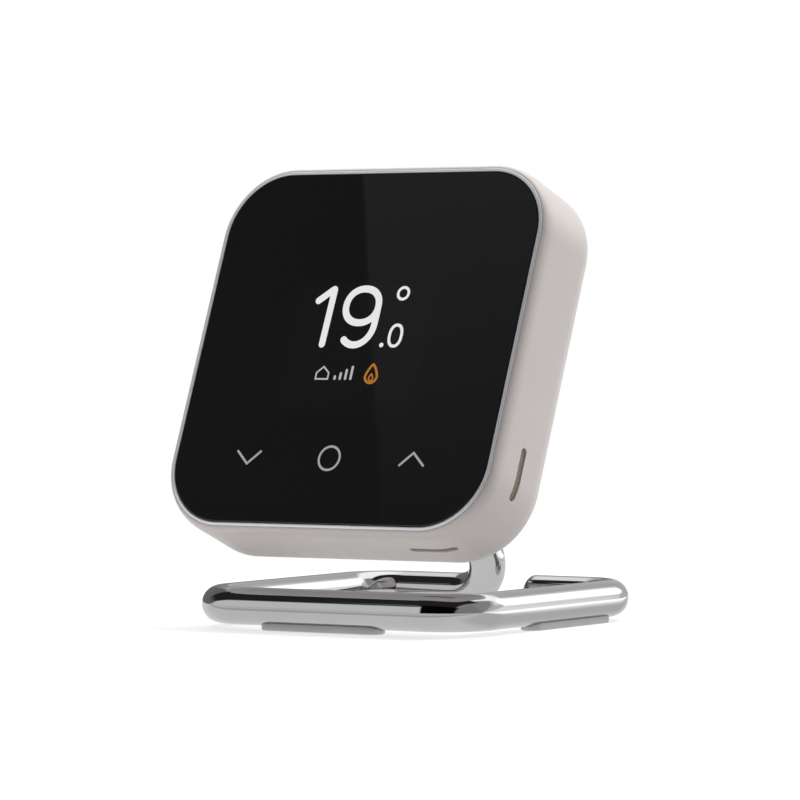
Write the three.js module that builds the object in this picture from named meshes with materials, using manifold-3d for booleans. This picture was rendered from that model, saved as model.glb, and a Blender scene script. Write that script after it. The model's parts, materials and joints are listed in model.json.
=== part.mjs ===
// A square room thermostat with a black glass front, on a bent chrome rod stand.
// Millimetres, +Z up, the front faces -Y. The origin is on the table, under the middle of the whole object.
//
// The thermostat (the head) is drawn in its own panel frame: x to the right, y up the glass and z out of the
// glass, with z = 0 on the glass's front face. Depths are counted from there, backwards. The head group leans
// that frame back. The stand is drawn standing, with y = 0 below the middle of the glass.
import * as THREE from "three";
import { mergeVertices } from "three/addons/utils/BufferGeometryUtils.js";
import Module from "manifold-3d";

const wasm = await Module();
wasm.setup();

// ---------------------------------------------------------------- driving dimensions
const LEAN = THREE.MathUtils.degToRad(22.15); // how far the glass leans back from upright
const GLASS_HEIGHT = 59.5; // height of the middle of the glass above the table
const GAP = 0.3; // between pieces that rest on each other
const FINE_GAP = 0.1; // between pieces that fit closely and show from outside
const BITE = 0.5; // how far shapes that are joined run into each other
const PAST = 1; // how far a cutting shape reaches past what it cuts

const BODY = { half: 41.5, corner: 16, depth: 21.2, wall: 2 };
const FRONT_EDGE = { width: 1.15, depth: 2.4, start: 0.35 }; // soft front edge of the housing
const BACK_EDGE = 5.5; // radius of the housing's rear edge
const BACK_OPENING = 34.8; // half width of the housing's rear opening
const GLASS = { half: 39.5, depth: 1.1, edge: 0.45 };
const BEZEL = { half: 40.25, depth: 1.6, crown: 0.05 };
const LEDGE = { half: 37.6, front: 1.75, back: 2.95 }; // the shelf that the glass is bonded to

const ROD = { radius: 4, curveSegments: 6, steps: 88 };
const LOOP = { halfWidth: 33.3, front: -9.3, back: 54.5, bend: 9.8 }; // centre line of the rod's loop
const FOOT = { length: 30.4, width: 5, height: 1.75, under: 0.9, frontX: -2 }; // under: below the rod
const ROD_HEIGHT = FOOT.under + ROD.radius;
const POST = { lean: THREE.MathUtils.degToRad(29.4), bend: 9.9, elbow: 14 };
const FREE_END = 9.7; // x of the rod's free end
const DOME = 2.2; // how far its plug stands out

const VENT = { length: 11.6, width: 1.9, from: 24.5, depth: 9.2 }; // from: how far from the middle lines
const CELL = { radius: 7.05, length: 49, nub: 1.2, nubRadius: 2.75, x: 17.2, depth: 12.65, shift: 23.4 };
const BAY = { halfWidth: 7.6, halfLength: 28, floor: 5.5, wall: 1 };
const TRAY = { half: 34.3, front: 4.8, panel: 18.4, back: 19.6 };
const BOARD = { half: 34, front: 3.7, back: 4.5 };
const PLATE = { half: 34.3, front: 20 };
const SCREW = { at: 28.8, seat: 10.8, boss: 9, radius: 0.85, headRadius: 2.2, head: 1.4, length: 6.8 };
const BOSS = { radius: 2.6, pilotPlay: 0.15, pilotStart: 0.4 };
const WEB = { from: 25, size: 13.5, cut: 8 }; // the corner plates that carry the bosses
const SOCKET = { bore: 5, radius: 6.5, end: 10.9, floor: 12.1, flange: 1.5 };
const ROD_END_DEPTH = 12.5; // where the rod's end stops inside the socket
const KEY = { width: 1.6, length: 3.4, slot: 2.2, slotLength: 4 };
const BUTTON = { y: -23.4, radius: 1.6, top: 19.4, bottom: 8.1 };
const ICON_Y = -24.9;
const ICON_X = [-20.8, 0, 20.8];
const ICON_LIGHT = { halfX: 1.5, halfY: 0.8, front: 3.05, back: 3.6 };
const LIGHT_BAR = { halfX: 24, halfY: 3, corner: 2, front: 1.6, back: 2.9 };
const FILM = { halfX: 30, halfY: 5.5, thick: 0.2 };
const SHIELD = { outer: 33.6, cut: 31.5, end: 12, thick: 0.7, back: 16.5 }; // wall round the sensor's corner
const RADIO = { halfX: 6, halfY: 7.5, corner: 0.8, y: 22, tall: 2.2 };
const PROCESSOR = { half: 4.5, y: 10, tall: 1 };
const SWITCH = { half: 3, back: 7.2, plunger: 1.2, plungerBack: 7.6 };
const RIBBON = { width: 14, thick: 0.2, front: 2.3, back: 6.3, drop: 1.1, hook: 1.3 };
const RIBBON_SOCKET = { halfX: 7.9, from: 2.6, to: 5.4, tall: 1.6 };
const CONTACT = { halfX: 4, halfLeg: 0.6, thick: 0.4, face: 27.5, from: 7.4, to: 17 };
const SPRING = { wire: 0.3, turns: 3.25, foot: 3.6, tip: 2.2, steps: 36 };
const WELL = { play: 0.6, wall: 0.9, front: 9, floor: 10 }; // the tray's room for the stand socket

// ---------------------------------------------------------------- shapes and solids
const CORNER_POINTS = 4;

// A square outline with round corners, as a three.js shape.
function roundedSquare(halfWidth, corner, halfHeight = halfWidth, centreX = 0, centreY = 0) {
  const shape = new THREE.Shape();
  const insideX = halfWidth - corner;
  const insideY = halfHeight - corner;
  const quarter = Math.PI / 2;
  [[1, 1], [-1, 1], [-1, -1], [1, -1]].forEach(([sx, sy], i) => {
    const x = centreX + sx * insideX;
    const y = centreY + sy * insideY;
    shape.absarc(x, y, corner, i * quarter, (i + 1) * quarter, false);
  });
  shape.closePath();
  return shape;
}

// The outline of a round-ended slot, as long as length, along x or along y.
function slotShape(length, width, alongY = false) {
  const half = { long: length / 2, wide: width / 2 };
  const corner = width / 2 - 1e-3;
  return alongY
    ? roundedSquare(half.wide, corner, half.long)
    : roundedSquare(half.long, corner, half.wide);
}

// A flat slab of that outline, from one depth behind the glass to another.
function slab(shape, from, to, curveSegments = 6) {
  const geometry = new THREE.ExtrudeGeometry(shape, { depth: to - from, bevelEnabled: false, curveSegments });
  return geometry.translate(0, 0, -to);
}

// A box by its limits in x and y, from one depth to another.
function block(x0, x1, y0, y1, from, to) {
  const geometry = new THREE.BoxGeometry(x1 - x0, y1 - y0, to - from);
  return geometry.translate((x0 + x1) / 2, (y0 + y1) / 2, -(from + to) / 2);
}

// A round bar that stands along the depth.
function bar(x, y, radius, from, to, sides = 16) {
  const geometry = new THREE.CylinderGeometry(radius, radius, to - from, sides);
  return geometry.rotateX(Math.PI / 2).translate(x, y, -(from + to) / 2);
}

// Rings of the body's rounded square, joined one after another. Each ring is [half width, depth]. The corners
// of all rings share their centres. A closed row of rings makes a frame, an open row is capped at both ends.
function loft(rings, closed = false) {
  const centre = BODY.half - BODY.corner;
  const outlines = rings.map(([half, depth]) =>
    roundedSquare(half, half - centre).getPoints(CORNER_POINTS).slice(0, -1)
      .map((p) => [p.x, p.y, -depth]));
  const count = outlines[0].length;
  const positions = outlines.flat(2);
  const index = [];
  const last = closed ? rings.length : rings.length - 1;
  for (let r = 0; r < last; r += 1) {
    const next = (r + 1) % rings.length;
    for (let i = 0; i < count; i += 1) {
      const j = (i + 1) % count;
      index.push(r * count + i, next * count + i, r * count + j);
      index.push(next * count + i, next * count + j, r * count + j);
    }
  }
  if (!closed) {
    const front = positions.length / 3;
    positions.push(0, 0, -rings[0][1], 0, 0, -rings[rings.length - 1][1]);
    const back = (rings.length - 1) * count;
    for (let i = 0; i < count; i += 1) {
      const j = (i + 1) % count;
      index.push(front, i, j);
      index.push(front + 1, back + j, back + i);
    }
  }
  const geometry = new THREE.BufferGeometry();
  geometry.setAttribute("position", new THREE.Float32BufferAttribute(positions, 3));
  geometry.setIndex(index);
  return geometry;
}

// A three.js geometry as a manifold-3d solid.
function solid(geometry) {
  const bare = geometry.index ? geometry.toNonIndexed() : geometry.clone();
  bare.deleteAttribute("normal");
  bare.deleteAttribute("uv");
  const merged = mergeVertices(bare, 1e-4);
  return new wasm.Manifold(new wasm.Mesh({
    numProp: 3,
    vertProperties: merged.attributes.position.array,
    triVerts: new Uint32Array(merged.index.array),
  }));
}

// The first geometry, joined with the ones to add and then cut by the ones to remove.
function carve(base, { add = [], cut = [] }) {
  let made = solid(base);
  add.forEach((piece) => { made = made.add(solid(piece)); });
  cut.forEach((piece) => { made = made.subtract(solid(piece)); });
  const mesh = made.getMesh();
  const geometry = new THREE.BufferGeometry();
  geometry.setAttribute("position", new THREE.BufferAttribute(new Float32Array(mesh.vertProperties), 3));
  geometry.setIndex(new THREE.BufferAttribute(new Uint32Array(mesh.triVerts), 1));
  return geometry;
}

// Points of a circle's arc, for a lathe profile: from one angle to another, in degrees.
function arc(radius, from, to, count, x = 0, y = 0) {
  return Array.from({ length: count + 1 }, (_, i) => {
    const angle = THREE.MathUtils.degToRad(from + ((to - from) * i) / count);
    return new THREE.Vector2(x + radius * Math.cos(angle), y + radius * Math.sin(angle));
  });
}

// ---------------------------------------------------------------- materials
function finish(color, roughness, metalness = 0) {
  return new THREE.MeshStandardMaterial({ color, roughness, metalness });
}
const CHROME = finish(0xd8d8d8, 0.05, 1);
const SILVER = finish(0xc9c9d0, 0.15, 1);
const TAUPE = finish(0xc4bcb7, 0.45);
const DARK_TAUPE = finish(0x8a8079, 0.6);
const BLACK_GLASS = finish(0x0c0c0d, 0.05);
const BLACK_FOAM = finish(0x151515, 0.95);
const BLACK_PLASTIC = finish(0x1b1b1c, 0.5);
const CLEAR_PLASTIC = finish(0xe8ecec, 0.2);
const SCREEN = finish(0x1d1d1f, 0.3);
const AMBER_FILM = finish(0xb5742a, 0.35);
const GREEN_BOARD = finish(0x1d5a38, 0.5);
const STEEL = finish(0xb4b4b4, 0.3, 1);
const NICKEL = finish(0xc8c3b4, 0.25, 1);
const WHITE_PART = finish(0xf0ede2, 0.4);
const CELL_SLEEVE = finish(0x3c4a57, 0.35);
const TRAY_GREY = finish(0xb5aea9, 0.55);
const RUBBER = finish(0x9d9c98, 0.8);
const DARK_RUBBER = finish(0x232323, 0.9);

function piece(name, geometry, material) {
  const mesh = new THREE.Mesh(geometry, material);
  mesh.name = name;
  return mesh;
}

// ---------------------------------------------------------------- stand
// A part of a circle from the end of one straight run to the start of the next.
class Bend extends THREE.Curve {
  constructor(start, along, towards, radius, angle) {
    super();
    Object.assign(this, { start, along, towards, radius, angle });
  }

  getPoint(t, target = new THREE.Vector3()) {
    const turned = t * this.angle;
    return target.copy(this.start)
      .addScaledVector(this.along, this.radius * Math.sin(turned))
      .addScaledVector(this.towards, this.radius * (1 - Math.cos(turned)));
  }
}

// The rod's centre line: the loop on the table from the free end, then up the post and into the socket.
function rodPath(headNormal, headUp) {
  const { halfWidth, front, back, bend } = LOOP;
  const path = new THREE.CurvePath();
  const at = new THREE.Vector3(FREE_END, back, ROD_HEIGHT);
  const direction = new THREE.Vector3(1, 0, 0);

  function straightTo(end) {
    path.add(new THREE.LineCurve3(at.clone(), end.clone()));
    at.copy(end);
  }
  function turn(towards, radius, angle) {
    const curve = new Bend(at.clone(), direction.clone(), towards.clone(), radius, angle);
    path.add(curve);
    at.copy(curve.getPoint(1));
    direction.multiplyScalar(Math.cos(angle)).addScaledVector(towards, Math.sin(angle));
  }

  const corners = [[halfWidth, back], [halfWidth, front], [-halfWidth, front], [-halfWidth, back]];
  const inwards = [[0, -1], [-1, 0], [0, 1], [1, 0]];
  corners.forEach(([x, y], i) => {
    const corner = new THREE.Vector3(x, y, ROD_HEIGHT);
    straightTo(corner.addScaledVector(direction, -bend));
    turn(new THREE.Vector3(...inwards[i], 0), bend, Math.PI / 2);
  });

  // The post leaves the end of the rear rail and stands on the middle line.
  straightTo(new THREE.Vector3(-POST.bend, back, ROD_HEIGHT));
  const up = new THREE.Vector3(0, -Math.sin(POST.lean), Math.cos(POST.lean));
  turn(up, POST.bend, Math.PI / 2);

  // The elbow brings the rod square to the back of the thermostat, on the glass's middle line.
  const elbowAngle = direction.angleTo(headNormal);
  const across = headNormal.clone().addScaledVector(direction, -headNormal.dot(direction)).normalize();
  const tangent = POST.elbow * Math.tan(elbowAngle / 2);
  const glassCentre = new THREE.Vector3(0, 0, GLASS_HEIGHT);
  const reach = glassCentre.clone().sub(at).dot(headUp) / direction.dot(headUp);
  straightTo(at.clone().addScaledVector(direction, reach - tangent));
  turn(across, POST.elbow, elbowAngle);
  const inside = glassCentre.clone().sub(at).dot(headNormal) - ROD_END_DEPTH;
  straightTo(at.clone().addScaledVector(headNormal, inside));
  return { path, end: at.clone() };
}

function roundBar(length, radius = ROD.radius) {
  return new THREE.CylinderGeometry(radius, radius, length, 24);
}

// A pad under the rod: a round-ended strip with a flat bottom and a hollow top that fits the rod.
function foot(name, x, y, alongY) {
  const pad = new THREE.ExtrudeGeometry(slotShape(FOOT.length, FOOT.width, alongY), {
    depth: FOOT.height,
    bevelEnabled: false,
    curveSegments: 6,
  });
  const rod = roundBar(FOOT.length + 2, ROD.radius + GAP / 2);
  if (!alongY) rod.rotateZ(Math.PI / 2);
  const geometry = carve(pad, { cut: [rod.translate(0, 0, ROD_HEIGHT)] });
  const mesh = piece(name, geometry, RUBBER);
  mesh.position.set(x, y, 0);
  return mesh;
}

// The domed plug that closes the rod's free end.
function endPlug() {
  const rise = (ROD.radius ** 2 + DOME ** 2) / (2 * DOME);
  const edge = THREE.MathUtils.radToDeg(Math.asin(ROD.radius / rise));
  const dome = arc(rise, 90 - edge, 90, 4, 0, DOME - rise);
  const profile = [new THREE.Vector2(0, 0), ...dome];
  profile[profile.length - 1].x = 0;
  const geometry = new THREE.LatheGeometry(profile, 16).rotateZ(Math.PI / 2);
  const mesh = piece("rod_end_plug", geometry, CHROME);
  mesh.position.set(FREE_END - GAP / 2, LOOP.back, ROD_HEIGHT);
  return mesh;
}

function stand(headNormal, headUp) {
  const { path, end } = rodPath(headNormal, headUp);
  const section = new THREE.Shape().absarc(0, 0, ROD.radius, 0, 2 * Math.PI, false);
  const rod = new THREE.ExtrudeGeometry(section, {
    extrudePath: path,
    steps: ROD.steps,
    curveSegments: ROD.curveSegments,
  });
  // A keyway across the rod's end stops the thermostat from turning on it.
  const keyway = new THREE.BoxGeometry(2 * ROD.radius + 2, KEY.slot, 2 * KEY.slotLength);
  keyway.rotateX(Math.PI / 2 - LEAN).translate(end.x, end.y, end.z);
  const group = new THREE.Group();
  const sideFootY = LOOP.back - LOOP.bend - FOOT.length / 2;
  group.add(
    piece("stand_rod", carve(rod, { cut: [keyway] }), CHROME),
    endPlug(),
    foot("foot_front", FOOT.frontX, LOOP.front, false),
    foot("foot_left", -LOOP.halfWidth, sideFootY, true),
    foot("foot_right", LOOP.halfWidth, sideFootY, true),
  );
  return group;
}

// ---------------------------------------------------------------- housing, glass and screen
const CORNERS = [[1, 1], [-1, 1], [-1, -1], [1, -1]];

function housing() {
  const { half, wall, depth } = BODY;
  const rim = half - FRONT_EDGE.width;
  const quarter = [0, 22.5, 45, 67.5, 90].map(THREE.MathUtils.degToRad);
  const frontEdge = quarter.map((a) => [
    rim + FRONT_EDGE.width * Math.sin(a),
    FRONT_EDGE.start + FRONT_EDGE.depth * (1 - Math.cos(a)),
  ]);
  const backEdge = quarter.map((a) => [
    half - BACK_EDGE * (1 - Math.cos(a)),
    depth - BACK_EDGE * (1 - Math.sin(a)),
  ]);
  const inner = BACK_EDGE - wall;
  const insideBack = quarter.map((a) => [
    half - wall - inner * (1 - Math.sin(a)),
    depth - wall - inner * (1 - Math.cos(a)),
  ]);
  const shell = loft([
    ...frontEdge,
    ...backEdge,
    [BACK_OPENING, depth],
    [BACK_OPENING, depth - wall],
    ...insideBack,
    [half - wall, LEDGE.back],
    [LEDGE.half, LEDGE.back],
    [LEDGE.half, LEDGE.front],
    [rim, LEDGE.front],
  ], true);

  // A web across each corner carries a screw boss.
  const { from, size, cut } = WEB;
  const webs = CORNERS.map(([sx, sy]) => {
    const web = new THREE.Shape([[0, 0], [size, 0], [size, cut], [cut, size], [0, size]]
      .map(([x, y]) => new THREE.Vector2(sx * (from + x), sy * (from + y))));
    return slab(web, LEDGE.front, LEDGE.back);
  });
  const bosses = CORNERS.map(([sx, sy]) =>
    bar(sx * SCREW.at, sy * SCREW.at, BOSS.radius, LEDGE.back - BITE, SCREW.boss));
  const pilots = CORNERS.map(([sx, sy]) => bar(
    sx * SCREW.at, sy * SCREW.at, SCREW.radius + BOSS.pilotPlay,
    LEDGE.back + BOSS.pilotStart, SCREW.boss + PAST, 12));

  // Air slots to the temperature sensor, in the right wall and in the bottom wall.
  const slot = () => new THREE.ExtrudeGeometry(slotShape(VENT.length, VENT.width), {
    depth: 4 * wall,
    bevelEnabled: false,
    curveSegments: 5,
  }).translate(0, 0, -2 * wall);
  const sideVent = slot().rotateZ(Math.PI / 2).rotateY(Math.PI / 2).translate(half, -VENT.from, -VENT.depth);
  const bottomVent = slot().rotateX(Math.PI / 2).translate(VENT.from, -half, -VENT.depth);
  const geometry = carve(shell, { add: [...webs, ...bosses], cut: [...pilots, sideVent, bottomVent] });
  return piece("housing", geometry, TAUPE);
}

function frontGlass() {
  const { half, depth, edge } = GLASS;
  return piece("front_glass", loft([
    [half - edge, 0],
    [half - 0.3 * edge, 0.3 * edge],
    [half, edge],
    [half, depth],
  ]), BLACK_GLASS);
}

function bezelRing() {
  const outer = BEZEL.half;
  const inner = GLASS.half + FINE_GAP;
  const middle = (outer + inner) / 2;
  return piece("bezel_ring", loft([
    [inner, BEZEL.crown + 0.3],
    [middle, BEZEL.crown],
    [outer, BEZEL.crown + 0.3],
    [outer, BEZEL.depth],
    [inner, BEZEL.depth],
  ], true), SILVER);
}

function glassTape() {
  const front = GLASS.depth + FINE_GAP;
  const back = LEDGE.front - FINE_GAP;
  return piece("glass_tape", loft([
    [LEDGE.half + 0.2, front],
    [GLASS.half - 0.2, front],
    [GLASS.half - 0.2, back],
    [LEDGE.half + 0.2, back],
  ], true), BLACK_FOAM);
}

const DISPLAY = { halfX: 20.5, bottom: -17.8, top: 18.2, front: 1.5, back: 3.4 };
const WINDOW = { halfX: 17.5, bottom: -12.6, top: 15.9 }; // the lit area of the screen

function screenParts() {
  const gasketShape = new THREE.Shape([[-1, -1], [1, -1], [1, 1], [-1, 1]].map(([x, y]) =>
    new THREE.Vector2(x * (DISPLAY.halfX - 0.5), y > 0 ? DISPLAY.top - 0.5 : DISPLAY.bottom + 0.5)));
  gasketShape.holes.push(new THREE.Path([[-1, -1], [-1, 1], [1, 1], [1, -1]].map(([x, y]) =>
    new THREE.Vector2(x * (WINDOW.halfX + 0.5), y > 0 ? WINDOW.top + 0.5 : WINDOW.bottom - 0.5))));
  const gasket = slab(gasketShape, GLASS.depth + 0.08, DISPLAY.front - 0.08);
  const { halfX, bottom, top, front, back } = DISPLAY;
  const screen = block(-halfX, halfX, bottom, top, front, back);

  // The touch film lies behind the three symbols, the light bar behind the film.
  const filmFront = GLASS.depth + FINE_GAP;
  const film = block(-FILM.halfX, FILM.halfX, ICON_Y - FILM.halfY, ICON_Y + FILM.halfY,
    filmFront, filmFront + FILM.thick);
  const barShape = roundedSquare(LIGHT_BAR.halfX, LIGHT_BAR.corner, LIGHT_BAR.halfY, 0, ICON_Y);
  const lightBar = slab(barShape, LIGHT_BAR.front, LIGHT_BAR.back, 2);
  const lights = ICON_X.map((x, i) => {
    const { halfX: wide, halfY: high } = ICON_LIGHT;
    const light = block(x - wide, x + wide, ICON_Y - high, ICON_Y + high, ICON_LIGHT.front, ICON_LIGHT.back);
    return piece(`icon_light_${i + 1}`, light, WHITE_PART);
  });

  // The ribbon drops from the screen's lower edge, through the board, to its socket on the far side.
  const edge = bottom - 0.15;
  const turn = edge - RIBBON.drop;
  const hook = turn + RIBBON.hook;
  const { thick } = RIBBON;
  const outline = [
    [edge, RIBBON.front], [turn - thick, RIBBON.front], [turn - thick, RIBBON.back], [hook, RIBBON.back],
    [hook, RIBBON.back - thick], [turn, RIBBON.back - thick], [turn, RIBBON.front + thick],
    [edge, RIBBON.front + thick],
  ].map(([y, depth]) => new THREE.Vector2(y, -depth));
  const ribbon = new THREE.ExtrudeGeometry(new THREE.Shape(outline), {
    depth: RIBBON.width,
    bevelEnabled: false,
  });
  ribbon.translate(0, 0, -RIBBON.width / 2);
  // The outline's own x and y are the panel's y and z, and it is as wide as it is extruded along x.
  ribbon.applyMatrix4(new THREE.Matrix4().makeBasis(
    new THREE.Vector3(0, 1, 0), new THREE.Vector3(0, 0, 1), new THREE.Vector3(1, 0, 0)));
  return [
    piece("display_gasket", gasket, BLACK_FOAM),
    piece("display_module", screen, SCREEN),
    piece("display_ribbon", ribbon, AMBER_FILM),
    piece("touch_film", film, AMBER_FILM),
    piece("icon_light_bar", lightBar, CLEAR_PLASTIC),
    ...lights,
  ];
}

// ---------------------------------------------------------------- circuit board
const SENSOR = { x: 36.6, y: -VENT.from, radius: 1.2, height: 4.6, stem: 0.45, stemHeight: 3.4 };
const RIBBON_SLOT_Y = DISPLAY.bottom - 1.35;

function boardParts() {
  const { half, front, back } = BOARD;
  const outline = slab(roundedSquare(half, 8.5), front, back);
  const tongue = block(half - 2, SENSOR.x + 1.3, SENSOR.y - 3, SENSOR.y + 3, front, back);
  const deep = [front - PAST, back + PAST];
  const notches = CORNERS.map(([sx, sy]) => bar(sx * SCREW.at, sy * SCREW.at, 3.1, ...deep));
  // Two slits keep the board's warmth away from the sensor.
  const slits = [-1, 1].map((s) =>
    block(half - 5, half - 1.2, SENSOR.y + s * 3.6 - 0.6, SENSOR.y + s * 3.6 + 0.6, ...deep));
  const ribbonSlot = block(-7.6, 7.6, RIBBON_SLOT_Y - 0.5, RIBBON_SLOT_Y + 0.5, ...deep);
  const pinHoles = contactPlaces().map(({ x, y }) => block(x - 1, x + 1, y - 0.6, y + 0.6, ...deep));
  const board = carve(outline, { add: [tongue], cut: [...notches, ...slits, ribbonSlot, ...pinHoles] });

  const top = back + FINE_GAP;
  const radioShape = roundedSquare(RADIO.halfX, RADIO.corner, RADIO.halfY, 0, RADIO.y);
  const radio = slab(radioShape, top, top + RADIO.tall, 2);
  const chip = PROCESSOR.half;
  const processor = block(-chip, chip, PROCESSOR.y - chip, PROCESSOR.y + chip, top, top + PROCESSOR.tall);
  const socket = block(-RIBBON_SOCKET.halfX, RIBBON_SOCKET.halfX, RIBBON_SLOT_Y + RIBBON_SOCKET.from,
    RIBBON_SLOT_Y + RIBBON_SOCKET.to, top, top + RIBBON_SOCKET.tall);
  const key = SWITCH.half;
  const switchBody = carve(block(-key, key, BUTTON.y - key, BUTTON.y + key, top, SWITCH.back), {
    add: [bar(0, BUTTON.y, SWITCH.plunger, SWITCH.back - BITE, SWITCH.plungerBack)],
  });

  // The sensor is a bead on a thin stem, which stands on the board's tongue.
  const beadProfile = [
    new THREE.Vector2(0, 0),
    new THREE.Vector2(SENSOR.stem, 0),
    new THREE.Vector2(SENSOR.stem, SENSOR.stemHeight),
    ...arc(SENSOR.radius, -60, 90, 6, 0, SENSOR.height),
  ];
  beadProfile[beadProfile.length - 1].x = 0;
  const bead = new THREE.LatheGeometry(beadProfile, 12);
  bead.rotateX(-Math.PI / 2).translate(SENSOR.x, SENSOR.y, -top);

  // A low wall shuts the sensor's corner off from the warm board and the cells.
  const { outer, cut, end, thick } = SHIELD;
  const mitre = thick * Math.tan(Math.PI / 8);
  const wallShape = new THREE.Shape([
    [outer, -end], [outer, -cut], [cut, -outer], [end, -outer],
    [end, -outer + thick], [cut - mitre, -outer + thick], [outer - thick, -cut + mitre],
    [outer - thick, -end],
  ].map(([x, y]) => new THREE.Vector2(x, y)));
  const shield = slab(wallShape, TRAY.front, SHIELD.back);
  return [
    piece("main_board", board, GREEN_BOARD),
    piece("radio_module", radio, STEEL),
    piece("processor", processor, BLACK_PLASTIC),
    piece("ribbon_socket", socket, WHITE_PART),
    piece("reset_switch", switchBody, BLACK_PLASTIC),
    piece("temperature_sensor", bead, BLACK_PLASTIC),
    piece("sensor_shield", shield, DARK_TAUPE),
  ];
}

// ---------------------------------------------------------------- cells and their contacts
// The four contact plates: one at each end of each cell. side and end are -1 or 1.
function contactPlaces() {
  return [-1, 1].flatMap((side) => [-1, 1].map((end) => ({
    side,
    end,
    x: side * CELL.x,
    y: end * (CONTACT.face + CONTACT.thick / 2),
  })));
}

function cell(name, side) {
  const { radius, length, nub, nubRadius } = CELL;
  const profile = [
    [0, 0], [radius - 0.6, 0], [radius, 0.6], [radius, length - 0.6], [radius - 0.6, length],
    [nubRadius, length], [nubRadius, length + nub], [0, length + nub],
  ].map(([x, y]) => new THREE.Vector2(x, y));
  const mesh = piece(name, new THREE.LatheGeometry(profile, 20), CELL_SLEEVE);
  // The left cell's nub points up, the right cell's points down.
  mesh.position.set(side * CELL.x, side * CELL.shift, -CELL.depth);
  mesh.rotation.z = side < 0 ? 0 : Math.PI;
  return mesh;
}

class Coil extends THREE.Curve {
  constructor(turns, height, foot, tip) {
    super();
    Object.assign(this, { turns, height, foot, tip });
  }

  getPoint(t, target = new THREE.Vector3()) {
    const angle = t * this.turns * 2 * Math.PI;
    const radius = this.foot + (this.tip - this.foot) * t;
    return target.set(radius * Math.cos(angle), this.height * t, radius * Math.sin(angle));
  }
}

// A cone spring between a contact plate and the flat end of a cell.
function contactSpring(name, side) {
  const { wire, turns, foot: footRadius, tip, steps } = SPRING;
  const clear = 2 * GAP + 2 * wire;
  const height = CONTACT.face - CELL.shift - clear;
  const section = new THREE.Shape().absarc(0, 0, wire, 0, 2 * Math.PI, false);
  const geometry = new THREE.ExtrudeGeometry(section, {
    extrudePath: new Coil(turns, height, footRadius, tip),
    steps,
    curveSegments: 3,
  });
  const mesh = piece(name, geometry, NICKEL);
  mesh.position.set(side * CELL.x, side * (CONTACT.face - clear / 2), -CELL.depth);
  mesh.rotation.z = side < 0 ? 0 : Math.PI;
  return mesh;
}

function powerParts() {
  const contacts = contactPlaces().map(({ side, end, x, y }) => {
    const { halfX, halfLeg, from, to } = CONTACT;
    const halfThick = CONTACT.thick / 2;
    const plate = block(x - halfX, x + halfX, y - halfThick, y + halfThick, from, to);
    const leg = block(x - halfLeg, x + halfLeg, y - halfThick, y + halfThick, BOARD.front - 0.2, from + BITE);
    const name = `contact_${side < 0 ? "left" : "right"}_${end < 0 ? "bottom" : "top"}`;
    return piece(name, carve(plate, { add: [leg] }), NICKEL);
  });
  return [
    cell("battery_left", -1),
    cell("battery_right", 1),
    contactSpring("battery_spring_left", -1),
    contactSpring("battery_spring_right", 1),
    ...contacts,
  ];
}

// ---------------------------------------------------------------- battery tray, screws and reset button
const CLIP = { x: 10, y: 31.5, halfX: 4, halfY: 0.6, reach: 3.6 };

function batteryTray() {
  const { half, front, panel, back } = TRAY;
  const past = back + PAST;
  const bayX = [-CELL.x, CELL.x];
  const outerX = BAY.halfWidth + BAY.wall;
  const outerY = BAY.halfLength + BAY.wall;
  const bays = bayX.map((x) => block(x - outerX, x + outerX, -outerY, outerY, front, panel + BITE));
  const pits = bayX.map((x) =>
    block(x - BAY.halfWidth, x + BAY.halfWidth, -BAY.halfLength, BAY.halfLength, BAY.floor, past));
  const wellRadius = SOCKET.radius + WELL.play;
  const well = bar(0, 0, wellRadius + WELL.wall, WELL.front, panel + BITE, 28);
  const wellHole = bar(0, 0, wellRadius, WELL.floor, past, 28);
  const columns = CORNERS.map(([sx, sy]) =>
    bar(sx * SCREW.at, sy * SCREW.at, 3.7, SCREW.boss + GAP, panel + BITE));
  const screwHoles = CORNERS.flatMap(([sx, sy]) => [
    bar(sx * SCREW.at, sy * SCREW.at, SCREW.headRadius + 0.4, SCREW.seat, past),
    bar(sx * SCREW.at, sy * SCREW.at, SCREW.radius + 0.35, front, past, 12),
  ]);
  const guide = bar(0, BUTTON.y, BUTTON.radius + 1.3, 13, panel + BITE);
  const guideHole = bar(0, BUTTON.y, BUTTON.radius + GAP, front, past);
  const clipSlots = CORNERS.map(([sx, sy]) => block(
    sx * CLIP.x - CLIP.halfX - 0.5, sx * CLIP.x + CLIP.halfX + 0.5,
    sy * CLIP.y - CLIP.halfY - 0.4, sy * CLIP.y + CLIP.halfY + 0.4, panel - PAST, past));
  const legSlots = contactPlaces().map(({ x, y }) =>
    block(x - 1, x + 1, y - 0.5, y + 0.5, front - PAST, BAY.floor + PAST));
  const geometry = carve(loft([[half, panel], [half, back]]), {
    add: [...bays, well, ...columns, guide],
    cut: [...pits, wellHole, ...screwHoles, guideHole, ...clipSlots, ...legSlots],
  });
  return piece("battery_tray", geometry, TRAY_GREY);
}

// A pan-head screw that points towards the glass, with a cross recess.
function screw(name, x, y, { seat, radius, length, headRadius, head }) {
  const profile = [
    [0, -length], [radius * 0.4, -length], [radius, -length + radius], [radius, 0], [headRadius, 0],
    [headRadius, head * 0.55], [headRadius * 0.72, head], [0, head],
  ].map(([px, py]) => new THREE.Vector2(px, py));
  const body = new THREE.LatheGeometry(profile, 14);
  const recess = [0, Math.PI / 2].map((turn) =>
    new THREE.BoxGeometry(headRadius * 1.2, head, 0.5).rotateY(turn).translate(0, head, 0));
  const mesh = piece(name, carve(body, { cut: recess }), STEEL);
  // The screw's head points backwards, away from the glass.
  mesh.rotation.x = -Math.PI / 2;
  mesh.position.set(x, y, -seat);
  return mesh;
}

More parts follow.
